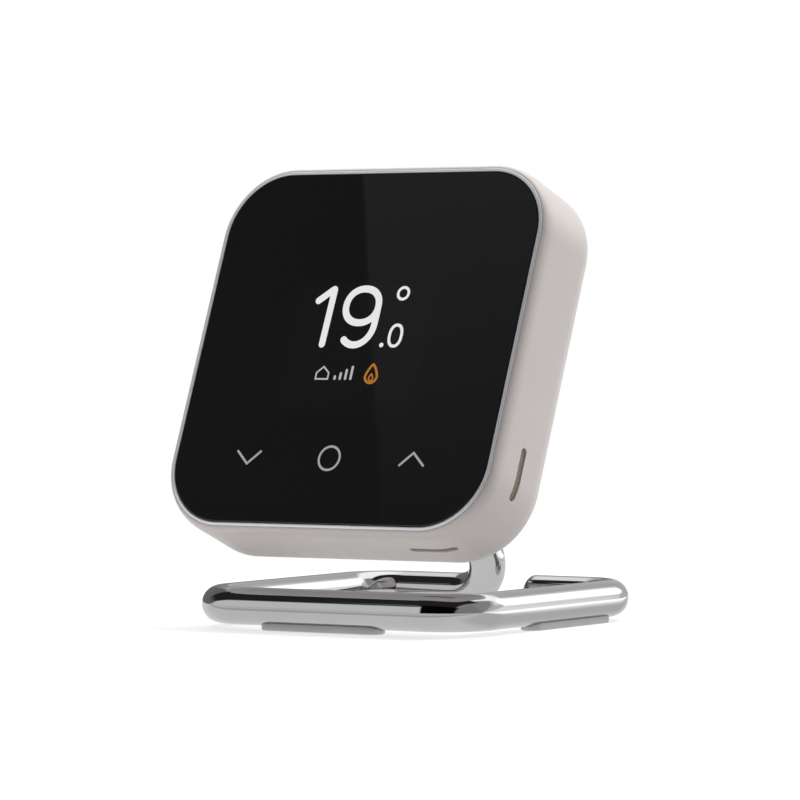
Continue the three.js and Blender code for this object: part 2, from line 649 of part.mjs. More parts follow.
function trayScrews() {
  return CORNERS.map(([sx, sy], i) =>
    screw(`tray_screw_${i + 1}`, sx * SCREW.at, sy * SCREW.at, { ...SCREW, seat: SCREW.seat + FINE_GAP }));
}

function resetButton() {
  const { radius, top, bottom } = BUTTON;
  const profile = [
    [0, 0], [radius + 1, 0], [radius + 1, 1.2], [radius, 1.2], [radius, top - bottom - 0.3],
    [radius - 0.3, top - bottom], [0, top - bottom],
  ].map(([x, y]) => new THREE.Vector2(x, y));
  const geometry = new THREE.LatheGeometry(profile, 16).rotateX(-Math.PI / 2);
  const mesh = piece("reset_button", geometry, WHITE_PART);
  mesh.position.set(0, BUTTON.y, -bottom);
  return mesh;
}

// ---------------------------------------------------------------- back plate and stand socket
const WALL_SLOT = { x: 30.15, length: 7, width: 4 }; // 60.3 mm apart, as the screws of a wall box are
const FLANGE = { halfX: 17, halfY: 9.5, screwX: 12.8 };
const FLANGE_SCREW = { radius: 0.85, length: 2.9, headRadius: 1.9, head: 1 };

function plateParts() {
  const { depth } = BODY;
  const { front } = PLATE;
  const clips = CORNERS.map(([sx, sy]) => block(
    sx * CLIP.x - CLIP.halfX, sx * CLIP.x + CLIP.halfX,
    sy * CLIP.y - CLIP.halfY, sy * CLIP.y + CLIP.halfY, front - CLIP.reach, front + BITE));
  const wallSlots = [-1, 1].map((s) =>
    slab(slotShape(WALL_SLOT.length, WALL_SLOT.width, true), front - PAST, depth + PAST)
      .translate(s * WALL_SLOT.x, 0, 0));
  const centreHole = bar(0, 0, SOCKET.radius + GAP, front - PAST, depth + PAST, 28);
  const flangeScrewHoles = [-1, 1].map((s) =>
    bar(s * FLANGE.screwX, 0, FLANGE_SCREW.radius + 0.2, front - PAST, depth + PAST, 12));
  const plate = carve(loft([[PLATE.half, front], [PLATE.half, depth - 0.3], [PLATE.half - 0.3, depth]]), {
    add: clips,
    cut: [...wallSlots, centreHole, ...flangeScrewHoles],
  });

  // The socket: a flange behind the plate, a tube through it, and a key across the tube's blind end.
  const flangeFront = depth + FINE_GAP;
  const flangeBack = flangeFront + SOCKET.flange;
  const flangeShape = roundedSquare(FLANGE.halfX, FLANGE.halfY - 0.01, FLANGE.halfY);
  const flange = slab(flangeShape, flangeFront, flangeBack, 10);
  const tube = bar(0, 0, SOCKET.radius, SOCKET.end, flangeFront + BITE, 28);
  const bore = bar(0, 0, SOCKET.bore, SOCKET.floor, flangeBack + PAST, 28);
  const key = block(-SOCKET.bore - BITE, SOCKET.bore + BITE, -KEY.width / 2, KEY.width / 2,
    SOCKET.floor - BITE, SOCKET.floor + KEY.length);
  const screwHoles = [-1, 1].map((s) =>
    bar(s * FLANGE.screwX, 0, FLANGE_SCREW.radius + 0.35, depth, flangeBack + PAST, 12));
  const socket = carve(flange, { add: [tube], cut: [bore, ...screwHoles] });
  const keyed = carve(socket, { add: [key] });

  // The rubber sleeve grips the rod behind the key.
  const sleeveFrom = SOCKET.floor + KEY.length + GAP;
  const sleeve = carve(bar(0, 0, SOCKET.bore - FINE_GAP, sleeveFrom, flangeBack, 28), {
    cut: [bar(0, 0, ROD.radius + GAP / 2, sleeveFrom - PAST, flangeBack + PAST, 28)],
  });
  const flangeScrews = ["left", "right"].map((side, i) =>
    screw(`socket_screw_${side}`, (2 * i - 1) * FLANGE.screwX, 0, {
      ...FLANGE_SCREW, seat: flangeBack + FINE_GAP,
    }));
  return [
    piece("back_plate", plate, TAUPE),
    piece("stand_socket", keyed, TRAY_GREY),
    piece("socket_sleeve", sleeve, DARK_RUBBER),
    ...flangeScrews,
  ];
}

// ---------------------------------------------------------------- the assembly
const head = new THREE.Group();
head.position.z = GLASS_HEIGHT;
head.rotation.x = Math.PI / 2 - LEAN;
head.add(
  housing(),
  frontGlass(),
  bezelRing(),
  glassTape(),
  ...screenParts(),
  ...boardParts(),
  ...powerParts(),
  batteryTray(),
  ...trayScrews(),
  resetButton(),
  ...plateParts(),
);

const headUp = new THREE.Vector3(0, Math.sin(LEAN), Math.cos(LEAN));
const headNormal = new THREE.Vector3(0, -Math.cos(LEAN), Math.sin(LEAN));

const thermostat = new THREE.Group();
thermostat.add(stand(headNormal, headUp), head);
thermostat.updateMatrixWorld(true);
const bounds = new THREE.Box3().setFromObject(thermostat, true);
thermostat.position.y = -(bounds.min.y + bounds.max.y) / 2;

export default thermostat;
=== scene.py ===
"""A square room thermostat with a black glass front, leaning back on a bent chrome rod.

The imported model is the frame. Lengths in the tables are millimetres. The head is drawn in the panel's own
axes: x to the right, y up the glass, and depth behind the glass's front. Panel's matrix turns those into the
row frame, in metres. The stand is drawn in the row frame.
"""
import json
import math

import bmesh
import bpy
from mathutils import Matrix, Vector


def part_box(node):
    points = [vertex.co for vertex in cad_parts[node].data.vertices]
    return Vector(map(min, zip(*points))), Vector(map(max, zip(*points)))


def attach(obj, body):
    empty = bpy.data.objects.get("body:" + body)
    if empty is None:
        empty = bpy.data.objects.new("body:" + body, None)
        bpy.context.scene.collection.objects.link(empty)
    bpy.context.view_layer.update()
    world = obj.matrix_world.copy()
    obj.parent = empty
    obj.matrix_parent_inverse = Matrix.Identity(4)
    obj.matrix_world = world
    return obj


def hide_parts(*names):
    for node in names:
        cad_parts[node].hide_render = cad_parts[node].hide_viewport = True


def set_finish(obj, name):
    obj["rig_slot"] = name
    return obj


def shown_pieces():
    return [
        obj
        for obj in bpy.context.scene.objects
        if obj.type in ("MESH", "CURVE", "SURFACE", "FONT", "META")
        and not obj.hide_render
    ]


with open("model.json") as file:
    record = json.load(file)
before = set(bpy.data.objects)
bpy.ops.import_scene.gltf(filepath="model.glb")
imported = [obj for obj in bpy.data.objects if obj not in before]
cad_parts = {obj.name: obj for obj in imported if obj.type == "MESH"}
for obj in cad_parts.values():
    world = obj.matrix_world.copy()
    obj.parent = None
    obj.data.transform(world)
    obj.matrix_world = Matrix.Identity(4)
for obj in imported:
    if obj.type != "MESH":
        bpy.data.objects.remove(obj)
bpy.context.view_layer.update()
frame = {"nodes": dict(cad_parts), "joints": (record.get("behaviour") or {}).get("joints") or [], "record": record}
MM = 0.001

# ------------ driving dimensions, millimetres
BODY = {"half": 41.5, "corner": 16.0, "depth": 21.2, "wall": 2.0}
FRONT_EDGE = {"width": 1.2, "depth": 3.1, "start": 0.30}
BACK_EDGE = 5.5
BACK_OPENING = 34.8
LEDGE = {"half": 37.6, "front": 1.75, "back": 2.95}
GLASS = {"half": 39.5, "depth": 1.1, "edge": 0.22}
BEZEL = {"half": 40.25, "gap": 0.05, "crest": 0.28, "front": 0.05, "rise": 0.17, "fall": 0.29, "depth": 1.6}
VENT = {"length": 11.6, "width": 1.9, "away": 24.5, "depth": 9.2}
# The brown grilles in the vent slots. Their brown is painted shade for the slots' shadowed insides.
SHADE_GRILLE = {"recess": 0.32, "thickness": 0.7, "pitch": 0.55, "slit": 0.14}
WINDOW = {"half_x": 17.4, "half_y": 14.3, "soft": 0.5}  # the screen's area, as it shows through the glass
ROD = {"radius": 4.0, "bend": 9.8, "post_bend": 9.9, "elbow": 14.0, "end_depth": 12.5}
POST_LEAN = math.radians(29.4)
FREE_END = {"x": 9.7, "dome": 2.2}
FOOT = {"length": 30.4, "width": 5.0, "height": 1.75}
PLATE = {"half": 34.3, "front": 20.0, "hole": 6.8}
GRIP = {"half": 9.0, "y": -30.0, "pitch": 1.5, "count": 7}
CLIP = {"half": 4.0, "x": 10.0, "y": 31.5, "reach": 3.6}
KEY = {"half_x": 5.4, "half_y": 0.8, "front": 11.7, "back": 15.5}
KEYWAY = {"half_x": 5.2, "half_y": 1.1, "back": 16.6}
WALL_SLOT = {"x": 30.15, "length": 7.0, "width": 4.0}
FLANGE = {"half_x": 17.0, "half_y": 9.5, "front": 21.3, "back": 22.8, "screw_x": 12.8}
SOCKET = {"tube": 6.5, "length": 11.0, "tube_start": 10.9, "bore": 5.0, "bore_start": 12.1, "collar": 6.6}
SLEEVE = {"bore": 4.15, "outside": 4.9, "front": 15.8, "lip": 5.35, "lip_front": 22.5, "back": 23.75}
TRAY_SCREW = {"x": 28.8, "seat": 10.9, "head": (2.2, 1.4), "length": 6.8}
SOCKET_SCREW = {"head": (1.9, 1.0), "length": 2.9}
SCREW_RADIUS = 0.85
THREAD_PITCH = 0.6
CELL = {"radius": 7.05, "length": 49.0, "x": 17.2, "depth": 12.65, "start": 23.4}
NUB = {"radius": 2.75, "height": 1.2}
RESET = {"y": -23.4, "front": 8.1, "back": 19.4, "radius": 1.6}
PROUD = 0.03  # how far the lit symbols stand out of the glass
CORNERS = ((1, 1), (-1, 1), (-1, -1), (1, -1))


# ------------ the panel's axes, from the frame
class Panel:
    """The panel's axes in the row frame, measured on the CAD glass and the joint that pulls the head off."""

    def __init__(self):
        joint = next(j for j in frame["joints"] if j["name"] == "head_pull_off")
        self.out = Vector(joint["axis"]).normalized()
        self.right = Vector((1, 0, 0))
        self.up = self.out.cross(self.right)
        glass = [v.co for v in frame["nodes"]["front_glass"].data.vertices]
        along_out = [c.dot(self.out) for c in glass]
        along_up = [c.dot(self.up) for c in glass]
        middle = (min(along_up) + max(along_up)) / 2
        self.centre = self.out * max(along_out) + self.up * middle
        axes = Matrix((self.right, self.up, self.out)).transposed().to_4x4()
        self.matrix = Matrix.Translation(self.centre) @ axes @ Matrix.Scale(MM, 4)

    def at(self, x, y, depth=0.0):
        return self.matrix @ Vector((x, y, -depth))


panel = Panel()


# ------------ mesh helpers
def add_object(name, mesh):
    obj = bpy.data.objects.new(name, mesh)
    bpy.context.scene.collection.objects.link(obj)
    return obj


def mesh_object(name, verts, faces, matrix=None, sharp_angle=35):
    """A mesh with its normals outward, smooth but for edges sharper than that angle."""
    mesh = bpy.data.meshes.new(name)
    mesh.from_pydata([tuple(v) for v in verts], [], faces)
    if matrix is not None:
        mesh.transform(matrix)
    tidy_mesh(mesh, sharp_angle)
    return add_object(name, mesh)


def tidy_mesh(mesh, sharp_angle=35):
    bm = bmesh.new()
    bm.from_mesh(mesh)
    bmesh.ops.remove_doubles(bm, verts=bm.verts, dist=1e-7)
    bmesh.ops.recalc_face_normals(bm, faces=bm.faces)
    bm.to_mesh(mesh)
    bm.free()
    mesh.shade_smooth()
    mesh.set_sharp_from_angle(angle=math.radians(sharp_angle))


def apply_modifiers(obj):
    """Replaces the object's mesh with its evaluated one."""
    depsgraph = bpy.context.evaluated_depsgraph_get()
    made = bpy.data.meshes.new_from_object(obj.evaluated_get(depsgraph))
    obj.modifiers.clear()
    obj.data = made


def combine(base, others, operation):
    """Cuts the other objects out of base, or joins them to it, and deletes them."""
    for other in others:
        modifier = base.modifiers.new("combine", "BOOLEAN")
        modifier.object = other
        modifier.operation = operation
        modifier.solver = "EXACT"
    apply_modifiers(base)
    for other in others:
        bpy.data.objects.remove(other)


def join(name, objects):
    """One object that holds the meshes of several."""
    bm = bmesh.new()
    for obj in objects:
        bm.from_mesh(obj.data)
        bpy.data.objects.remove(obj)
    mesh = bpy.data.meshes.new(name)
    bm.to_mesh(mesh)
    bm.free()
    return add_object(name, mesh)


def add_bevel(obj, width, angle):
    """Small round edges of that width, wherever the surface turns by more than the angle in degrees."""
    modifier = obj.modifiers.new("bevel", "BEVEL")
    modifier.width = width * MM
    modifier.segments = 2
    modifier.limit_method = "ANGLE"
    modifier.angle_limit = math.radians(angle)


def bevel_edges(obj, width, angle=50):
    add_bevel(obj, width, angle)
    apply_modifiers(obj)
    tidy_mesh(obj.data)


def finish(obj, body, slot, node=None):
    """Sets the body that the piece rides on and its slot, and hides the CAD node that it stands for, if any."""
    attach(obj, body)
    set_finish(obj, slot)
    if node:
        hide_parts(node)


def round_square(half_x, corner, half_y=None, centre=(0.0, 0.0), steps=16):
    """Points of a rectangle with round corners, anticlockwise."""
    half_y = half_x if half_y is None else half_y
    points = []
    for quarter, (sx, sy) in enumerate(CORNERS):
        cx = centre[0] + sx * (half_x - corner)
        cy = centre[1] + sy * (half_y - corner)
        for i in range(steps + 1):
            angle = (quarter + i / steps) * math.pi / 2
            points.append((cx + corner * math.cos(angle), cy + corner * math.sin(angle)))
    return points


def loft(name, rings, closed=False, matrix=None, sharp_angle=35):
    """Joins rings of points one after another. A closed row of rings makes a frame, an open one is capped."""
    count = len(rings[0])
    verts = [p for ring in rings for p in ring]
    faces = []
    for r in range(len(rings) if closed else len(rings) - 1):
        a, b = r * count, ((r + 1) % len(rings)) * count
        for i in range(count):
            j = (i + 1) % count
            faces.append((a + i, a + j, b + j, b + i))
    if not closed:
        faces += [tuple(range(count)), tuple(range(len(verts) - count, len(verts)))]
    return mesh_object(name, verts, faces, matrix, sharp_angle)


def body_rings(profile, steps=20):
    """Rings of the body's rounded square, round the same corner centres. profile is [half width, depth]."""
    centre = BODY["half"] - BODY["corner"]
    outlines = [(round_square(half, half - centre, steps=steps), depth) for half, depth in profile]
    return [[(x, y, -depth) for x, y in outline] for outline, depth in outlines]


def quarter_turn(steps):
    """Angles from 0 to a right angle."""
    return [i / steps * math.pi / 2 for i in range(steps + 1)]


def round_plate(name, outline, front, back, edge):
    """A flat piece between two depths with round edges. outline gives its points for an inset."""
    angles = quarter_turn(3)
    rings = [(edge * (1 - math.sin(a)), front + edge * (1 - math.cos(a))) for a in angles]
    rings += [(edge * (1 - math.cos(a)), back - edge * (1 - math.sin(a))) for a in angles]
    made = [[(x, y, -depth) for x, y in outline(inset)] for inset, depth in rings]
    return loft(name, made, matrix=panel.matrix)


def prism(name, outline, low, high, matrix):
    """A straight bar with that outline between two heights."""
    return loft(name, [[(x, y, z) for x, y in outline] for z in (low, high)], matrix=matrix)


def panel_prism(name, outline, front, back):
    """A straight bar with that outline between two depths."""
    return prism(name, outline, -front, -back, panel.matrix)


def circle(radius, height, sides):
    angles = [2 * math.pi * i / sides for i in range(sides)]
    return [(radius * math.cos(a), radius * math.sin(a), height) for a in angles]


def turned(name, profile, matrix, sides=48):
    """A solid of revolution. profile is [radius, height] from the axis back to the axis."""
    verts, rows, faces = [], [], []
    for radius, height in profile:
        ring = circle(radius, height, sides) if radius else [(0, 0, height)]
        rows.append([len(verts) + i % len(ring) for i in range(sides)])
        verts += ring
    for low, high in zip(rows, rows[1:]):
        for i in range(sides):
            j = (i + 1) % sides
            corners = (low[i], low[j], high[j], high[i])
            faces.append(tuple(dict.fromkeys(corners)))  # a triangle at the axis, where two of them are one
    return mesh_object(name, verts, faces, matrix)


def arc(radius, start, end, steps, x=0.0, y=0.0):
    """Points of a circle's arc, by its angles in degrees."""
    angles = [math.radians(start + (end - start) * i / steps) for i in range(steps + 1)]
    return [(x + radius * math.cos(a), y + radius * math.sin(a)) for a in angles]


def sweep(name, path, radius, sides=48):
    """A round bar along a path of points, with its section turned as little as possible on the way."""
    path = [Vector(p) for p in path]
    side = (path[1] - path[0]).normalized().orthogonal().normalized()
    rings = []
    for before, point, after in zip(path[:1] + path, path, path[1:] + path[-1:]):
        tangent = (after - before).normalized()
        side = (side - tangent * side.dot(tangent)).normalized()
        other = tangent.cross(side)
        rings.append([point + side * x + other * y for x, y, _ in circle(radius, 0, sides)])
    return loft(name, rings)


def stroke_sides(points, width, closed=False):
    """Two rows of points, half the width to the left and to the right of a line, with mitred corners."""
    pts = [Vector(p) for p in points]
    count = len(pts)
    left, right = [], []
    for i, p in enumerate(pts):
        incoming = (p - pts[i - 1]).normalized() if closed or i else None
        outgoing = (pts[(i + 1) % count] - p).normalized() if closed or i < count - 1 else incoming
        incoming = outgoing if incoming is None else incoming
        tangent = (incoming + outgoing).normalized()
        normal = Vector((-tangent.y, tangent.x))
        reach = width / 2 / max(0.5, normal.dot(Vector((-incoming.y, incoming.x))))
        left.append(p + normal * reach)
        right.append(p - normal * reach)
    return left, right


def round_end(left, right, outward, steps=10):
    """Pairs of points that round off the end of a stroke, from the line outward."""
    middle, spoke = (left + right) / 2, (left - right) / 2
    ahead = Vector((spoke.y, -spoke.x)) * outward
    turns = [(math.sin(a), math.cos(a)) for a in quarter_turn(steps)[1:-1]]
    turns.append((1.0, math.cos(math.pi / 2 * (steps - 0.3) / steps)))
    return [(middle + ahead * s + spoke * c, middle + ahead * s - spoke * c) for s, c in turns]


def stroke(name, points, width, closed=False, front=-PROUD, back=0.25):
    """A thin solid in the shape of a pen stroke with round ends, its front a little proud of the glass."""
    left, right = stroke_sides(points, width, closed)
    pairs = list(zip(left, right))
    if not closed:
        pairs = round_end(left[0], right[0], -1)[::-1] + pairs + round_end(left[-1], right[-1], 1)
    sections = [((a, front), (b, front), (b, back), (a, back)) for a, b in pairs]
    rings = [[(p.x, p.y, -depth) for p, depth in section] for section in sections]
    return loft(name, rings, closed=closed, matrix=panel.matrix)


# ------------ stand
def stand_sizes():
    """The stand's centre line, from the CAD rod's and plug's boxes, in metres."""
    low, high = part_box("stand_rod")
    plug_low, plug_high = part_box("rod_end_plug")
    radius = ROD["radius"] * MM
    return {
        "half": high.x - radius,
        "front": low.y + radius,
        "back": (plug_low.y + plug_high.y) / 2,
        "height": (plug_low.z + plug_high.z) / 2,
    }


def bend_points(start, along, towards, radius, angle, steps=28):
    turns = [angle * i / steps for i in range(1, steps + 1)]
    return [start + along * (radius * math.sin(a)) + towards * (radius * (1 - math.cos(a))) for a in turns]


def rod_path():
    """The rod's centre line: the loop from its free end, up the post and square into the head's socket."""
    size = stand_sizes()
    half, front, back, z = size["half"], size["front"], size["back"], size["height"]
    bend = ROD["bend"] * MM
    path = [Vector((FREE_END["x"] * MM, back, z))]
    heading = Vector((1, 0, 0))

    def run_to(end, steps=10):
        start = path[-1].copy()
        path.extend(start.lerp(end, i / steps) for i in range(1, steps + 1))

    for corner in ((half, back), (half, front), (-half, front), (-half, back)):
        towards = Vector((heading.y, -heading.x, 0))
        run_to(Vector((*corner, z)) - heading * bend)
        path.extend(bend_points(path[-1].copy(), heading, towards, bend, math.pi / 2))
        heading = towards
    run_to(Vector((-ROD["post_bend"] * MM, back, z)))
    post = Vector((0, -math.sin(POST_LEAN), math.cos(POST_LEAN)))
    path.extend(bend_points(path[-1].copy(), heading, post, ROD["post_bend"] * MM, math.pi / 2))
    foot_of_post = path[-1].copy()
    turn_angle = post.angle(panel.out)
    across = (panel.out - post * post.dot(panel.out)).normalized()
    reach = (panel.centre - foot_of_post).dot(panel.up) / post.dot(panel.up)
    elbow = ROD["elbow"] * MM
    run_to(foot_of_post + post * (reach - elbow * math.tan(turn_angle / 2)))
    path.extend(bend_points(path[-1].copy(), post, across, elbow, turn_angle))
    inside = (panel.centre - path[-1]).dot(panel.out) - ROD["end_depth"] * MM
    run_to(path[-1] + panel.out * inside)
    return path


def make_rod():
    rod = sweep("rod", rod_path(), ROD["radius"] * MM, sides=56)
    keyway = round_square(KEYWAY["half_x"], 0.3, KEYWAY["half_y"], steps=3)
    combine(rod, [panel_prism("keyway", keyway, ROD["end_depth"] - 1, KEYWAY["back"])], "DIFFERENCE")
    bevel_edges(rod, 0.25)
    finish(rod, "stand", "chrome", "stand_rod")


def make_end_plug():
    """The domed plug, with the small shadow groove that shows where it meets the rod."""
    size = stand_sizes()
    radius, dome = ROD["radius"], FREE_END["dome"]
    curve_radius = (radius**2 + dome**2) / (2 * dome)
    edge = math.degrees(math.asin(radius / curve_radius))
    profile = [(0, 0.0), (radius - 0.35, 0.0), (radius - 0.12, 0.12)]
    profile += arc(curve_radius, 90 - edge * 0.97, 90, 16, 0, dome - curve_radius)
    profile[-1] = (0, dome)
    overlap = 0.15 * MM
    place = Matrix.Translation((FREE_END["x"] * MM - overlap, size["back"], size["height"]))
    place = place @ Matrix.Rotation(-math.pi / 2, 4, "Y") @ Matrix.Scale(MM, 4)
    plug = turned("end_plug", profile, place, sides=56)
    finish(plug, "stand", "chrome", "rod_end_plug")


def make_foot(side):
    """A flat pad with a hollow top that fits the rod, and a small step round its upper edge."""
    node = f"foot_{side}"
    low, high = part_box(node)
    along_y = high.y - low.y > high.x - low.x
    centre = (low + high) / 2
    half_long, half_wide = FOOT["length"] / 2, FOOT["width"] / 2
    rings = []
    top = FOOT["height"]
    for inset, z in ((0.35, 0.0), (0.1, 0.12), (0.0, 0.35), (0.0, top - 0.5), (0.3, top)):
        outline = round_square(half_long - inset, half_wide - inset - 0.01, half_wide - inset, steps=14)
        rings.append([(x, y, z) for x, y in outline])
    turn = Matrix.Rotation(math.pi / 2 if along_y else 0.0, 4, "Z")
    place = Matrix.Translation((centre.x, centre.y, 0)) @ turn @ Matrix.Scale(MM, 4)
    pad = loft(node + "_pad", rings, matrix=place)
    reach = (half_long + 3) * MM
    along = Vector((0, 1, 0)) if along_y else Vector((1, 0, 0))
    axis = Vector((centre.x, centre.y, stand_sizes()["height"]))
    cutter = sweep("rod_cut", [axis - along * reach, axis + along * reach], (ROD["radius"] + 0.06) * MM)
    combine(pad, [cutter], "DIFFERENCE")
    tidy_mesh(pad.data)
    finish(pad, "stand", "foot_rubber", node)


# ------------ housing, bezel and glass
def vent_places():
    """For each vent, its name and the matrix that puts a slot on the body, along X, with +Z outward."""
    half, away, depth = BODY["half"], VENT["away"], VENT["depth"]
    upright = Matrix.Rotation(math.pi / 2, 4, "Y") @ Matrix.Rotation(math.pi / 2, 4, "Z")
    level = Matrix.Rotation(math.pi / 2, 4, "X")
    return [
        ("side", panel.matrix @ Matrix.Translation((half, -away, -depth)) @ upright),
        ("bottom", panel.matrix @ Matrix.Translation((away, -half, -depth)) @ level),
    ]


def slot_prism(name, matrix, smaller=0.0):
    """A bar with the vent's round-ended outline, through the body's surface."""
    length, width = VENT["length"] - smaller, VENT["width"] - smaller
    outline = round_square(length / 2, width / 2 - 0.001, width / 2, steps=12)
    return prism(name, outline, -4.0, 4.0, matrix)


def make_housing():
    half, wall, depth = BODY["half"], BODY["wall"], BODY["depth"]
    edge = FRONT_EDGE
    rim = half - edge["width"]
    quarter = quarter_turn(10)
    start, fall = edge["start"], edge["depth"]
    front = [(rim + edge["width"] * math.sin(a), start + fall * (1 - math.cos(a))) for a in quarter]
    side_start, side_end = front[-1][1], depth - BACK_EDGE
    side = [(half, side_start + (side_end - side_start) * i / 9) for i in range(1, 9)]
    back = [(half - BACK_EDGE * (1 - math.cos(a)), depth - BACK_EDGE * (1 - math.sin(a))) for a in quarter]
    inner = BACK_EDGE - wall
    reach, end = half - wall, depth - wall
    inside = [(reach - inner * (1 - math.sin(a)), end - inner * (1 - math.cos(a))) for a in quarter[::2]]
    lip = [(BACK_OPENING + 0.35, depth), (BACK_OPENING, depth - 0.35), (BACK_OPENING, end)]
    ledge = [
        (reach, LEDGE["back"]), (LEDGE["half"], LEDGE["back"]),
        (LEDGE["half"], LEDGE["front"]), (rim, LEDGE["front"]), (rim, start + 0.25),
    ]
    profile = front + side + back + lip + inside + ledge
    housing = loft("housing_shell", body_rings(profile), closed=True, matrix=panel.matrix)
    cutters = [slot_prism("cut_" + name, matrix) for name, matrix in vent_places()]
    combine(housing, cutters, "DIFFERENCE")
    tidy_mesh(housing.data, 32)
    modifier = housing.modifiers.new("even", "WEIGHTED_NORMAL")
    modifier.keep_sharp = True
    apply_modifiers(housing)
    finish(housing, "head", "body_plastic", "housing")


def make_vent_shade_inserts():
    """Grilles in the vent slots, brown as painted shade: strips just under the surface, with fine slits across
    them.
    """
    width, depth, pitch, slit = VENT["width"], VENT["depth"], SHADE_GRILLE["pitch"], SHADE_GRILLE["slit"]
    outside = BODY["half"] - SHADE_GRILLE["recess"]
    inside = outside - SHADE_GRILLE["thickness"]
    low, high = depth - width, depth + width
    band = [(outside, low), (outside, high), (inside, high), (inside, low)]
    count = int(VENT["length"] / pitch) - 1
    for name, matrix in vent_places():
        insert = slot_prism("vent_shade_insert_" + name, matrix, smaller=0.06)
        shell = loft("band", body_rings(band, steps=32), closed=True, matrix=panel.matrix)
        combine(insert, [shell], "INTERSECT")
        slits = []
        for i in range(count):
            middle = ((i - (count - 1) / 2) * pitch, 0)
            shape = round_square(slit / 2, slit / 2 - 0.01, width / 2 - 0.3, centre=middle)
            slits.append(prism(f"slit_{i}", shape, -3, 1, matrix))
        combine(insert, [join("slits", slits)], "DIFFERENCE")
        tidy_mesh(insert.data)
        # painted shade: the grille's brown stands for the shade inside the slot
        finish(insert, "head", "shield_taupe")


def make_glass():
    half, depth, edge = GLASS["half"], GLASS["depth"], GLASS["edge"]
    profile = [(half - edge - 0.15, 0.0)]  # keeps the flat face's shading flat up to its round edge
    profile += [(half - edge * (1 - math.sin(a)), edge * (1 - math.cos(a))) for a in quarter_turn(8)]
    profile += [(half, depth - 0.1), (half - 0.1, depth), (half - 0.4, depth)]
    glass = loft("glass_panel", body_rings(profile, steps=24), matrix=panel.matrix)
    finish(glass, "head", "front_glass_black", "front_glass")


def make_bezel():
    """The bright frame: a crowned strip that rises from the glass and falls away to the housing's edge."""
    inner, crest, outer = GLASS["half"] + BEZEL["gap"], GLASS["half"] + BEZEL["crest"], BEZEL["half"]
    front, rise, fall = BEZEL["front"], BEZEL["rise"], BEZEL["fall"]
    profile = [(crest - (crest - inner) * math.sin(a), front + rise * (1 - math.cos(a)))
               for a in (math.pi / 2, 1.1, 0.7, 0.35)]
    profile += [(crest + (outer - crest) * math.sin(a), front + fall * (1 - math.cos(a)))
                for a in (0.0, 0.3, 0.6, 0.9, 1.2, math.pi / 2)]
    profile += [(outer, BEZEL["depth"]), (inner, BEZEL["depth"])]
    rings = body_rings(profile, steps=24)
    bezel = loft("bezel_frame", rings, closed=True, matrix=panel.matrix, sharp_angle=60)
    finish(bezel, "head", "bezel_silver", "bezel_ring")


# ------------ what the glass shows
def ellipse(cx, cy, rx, ry, start=0.0, end=360.0, steps=64, power=1.0):
    """Points of an ellipse between two angles, squarer as power falls below 1. A whole turn isn't closed."""
    made = []
    for i in range(steps if abs(end - start) >= 360 else steps + 1):
        angle = math.radians(start + (end - start) * i / steps)
        c, s = math.cos(angle), math.sin(angle)
        c, s = math.copysign(abs(c) ** power, c), math.copysign(abs(s) ** power, s)
        made.append((cx + rx * c, cy + ry * s))
    return made


def round_corner(before, corner, after, radius, steps=5):
    """Points that replace a sharp corner of a line by a small arc-like curve."""
    before, corner, after = Vector(before), Vector(corner), Vector(after)
    start = corner + (before - corner).normalized() * radius
    end = corner + (after - corner).normalized() * radius
    shares = [i / steps for i in range(steps + 1)]
    return [tuple(start.lerp(corner, t).lerp(corner.lerp(end, t), t)) for t in shares]


def lit_piece(obj, material):
    obj.data.materials.append(material)
    finish(obj, "head", "lit_symbol")


def make_reading(white):
    """The temperature, 19.0 degrees, in round-ended pen strokes."""
    wide, thin = 1.58, 0.68
    one = [(-11.7, 10.4), *round_corner((-11.7, 10.4), (-8.15, 13.1), (-8.4, 0.5), 0.5), (-8.4, 0.55)]
    lit_piece(stroke("digit_1", one, wide), white)
    bowl = stroke("digit_9", ellipse(-0.2, 9.2, 4.1, 3.82, power=0.93), wide, closed=True)
    tail_line = [(3.9, 9.2), (3.92, 7.0), *ellipse(-0.33, 5.1, 4.2, 4.72, 0, -131, steps=40)]
    combine(bowl, [stroke("tail", tail_line, wide, front=-PROUD + 0.002, back=0.248)], "UNION")
    tidy_mesh(bowl.data)
    lit_piece(bowl, white)
    lit_piece(stroke("digit_0", ellipse(9.85, 2.5, 1.5, 2.36, power=0.88), thin, closed=True), white)
    lit_piece(stroke("decimal_point", [(6.8, 0.38), (6.82, 0.38)], 1.02), white)
    lit_piece(stroke("degree_ring", ellipse(9.55, 12.0, 1.32, 1.32), 0.62, closed=True), white)


def make_status_symbols(grey, amber):
    """A small house and four signal bars, and a flame that shows that the heating is on."""
    left, right, floor, eaves, ridge = -8.1, -5.0, -7.3, -5.9, -4.55
    house = [(left, eaves), (left, floor), (right, floor), (right, eaves), ((left + right) / 2, ridge)]
    lit_piece(stroke("house_symbol", house, 0.36, closed=True), grey)
    for i in range(4):
        x = -3.2 + i * 1.35
        top = -6.75 + i * 0.72
        lit_piece(stroke(f"signal_bar_{i + 1}", [(x, floor + 0.1), (x, top)], 0.58), grey)

    cx, base, tall = 5.95, -6.65, 2.75

    def drop(width, height, low):
        """A drop: a half circle below and two leaning curves that meet in a tip above."""
        half = width / 2
        under = ellipse(cx, low + half, half, half, 180, 360, steps=24)
        rise = height - half
        shares = [i / 12 for i in range(1, 13)]
        sides = [(half * (1 - t) ** 0.75 * (1 + 0.25 * t), low + half + rise * t) for t in shares]
        right_side = [(cx + x, y) for x, y in sides]
        left_side = [(cx - x, y) for x, y in reversed(sides[:-1])]
        return under + right_side + left_side

    lit_piece(stroke("flame_outer", drop(3.0, tall + 1.35, base - 1.45), 0.55, closed=True), amber)
    lit_piece(stroke("flame_inner", drop(1.05, 1.5, base - 0.95), 0.34, closed=True), amber)


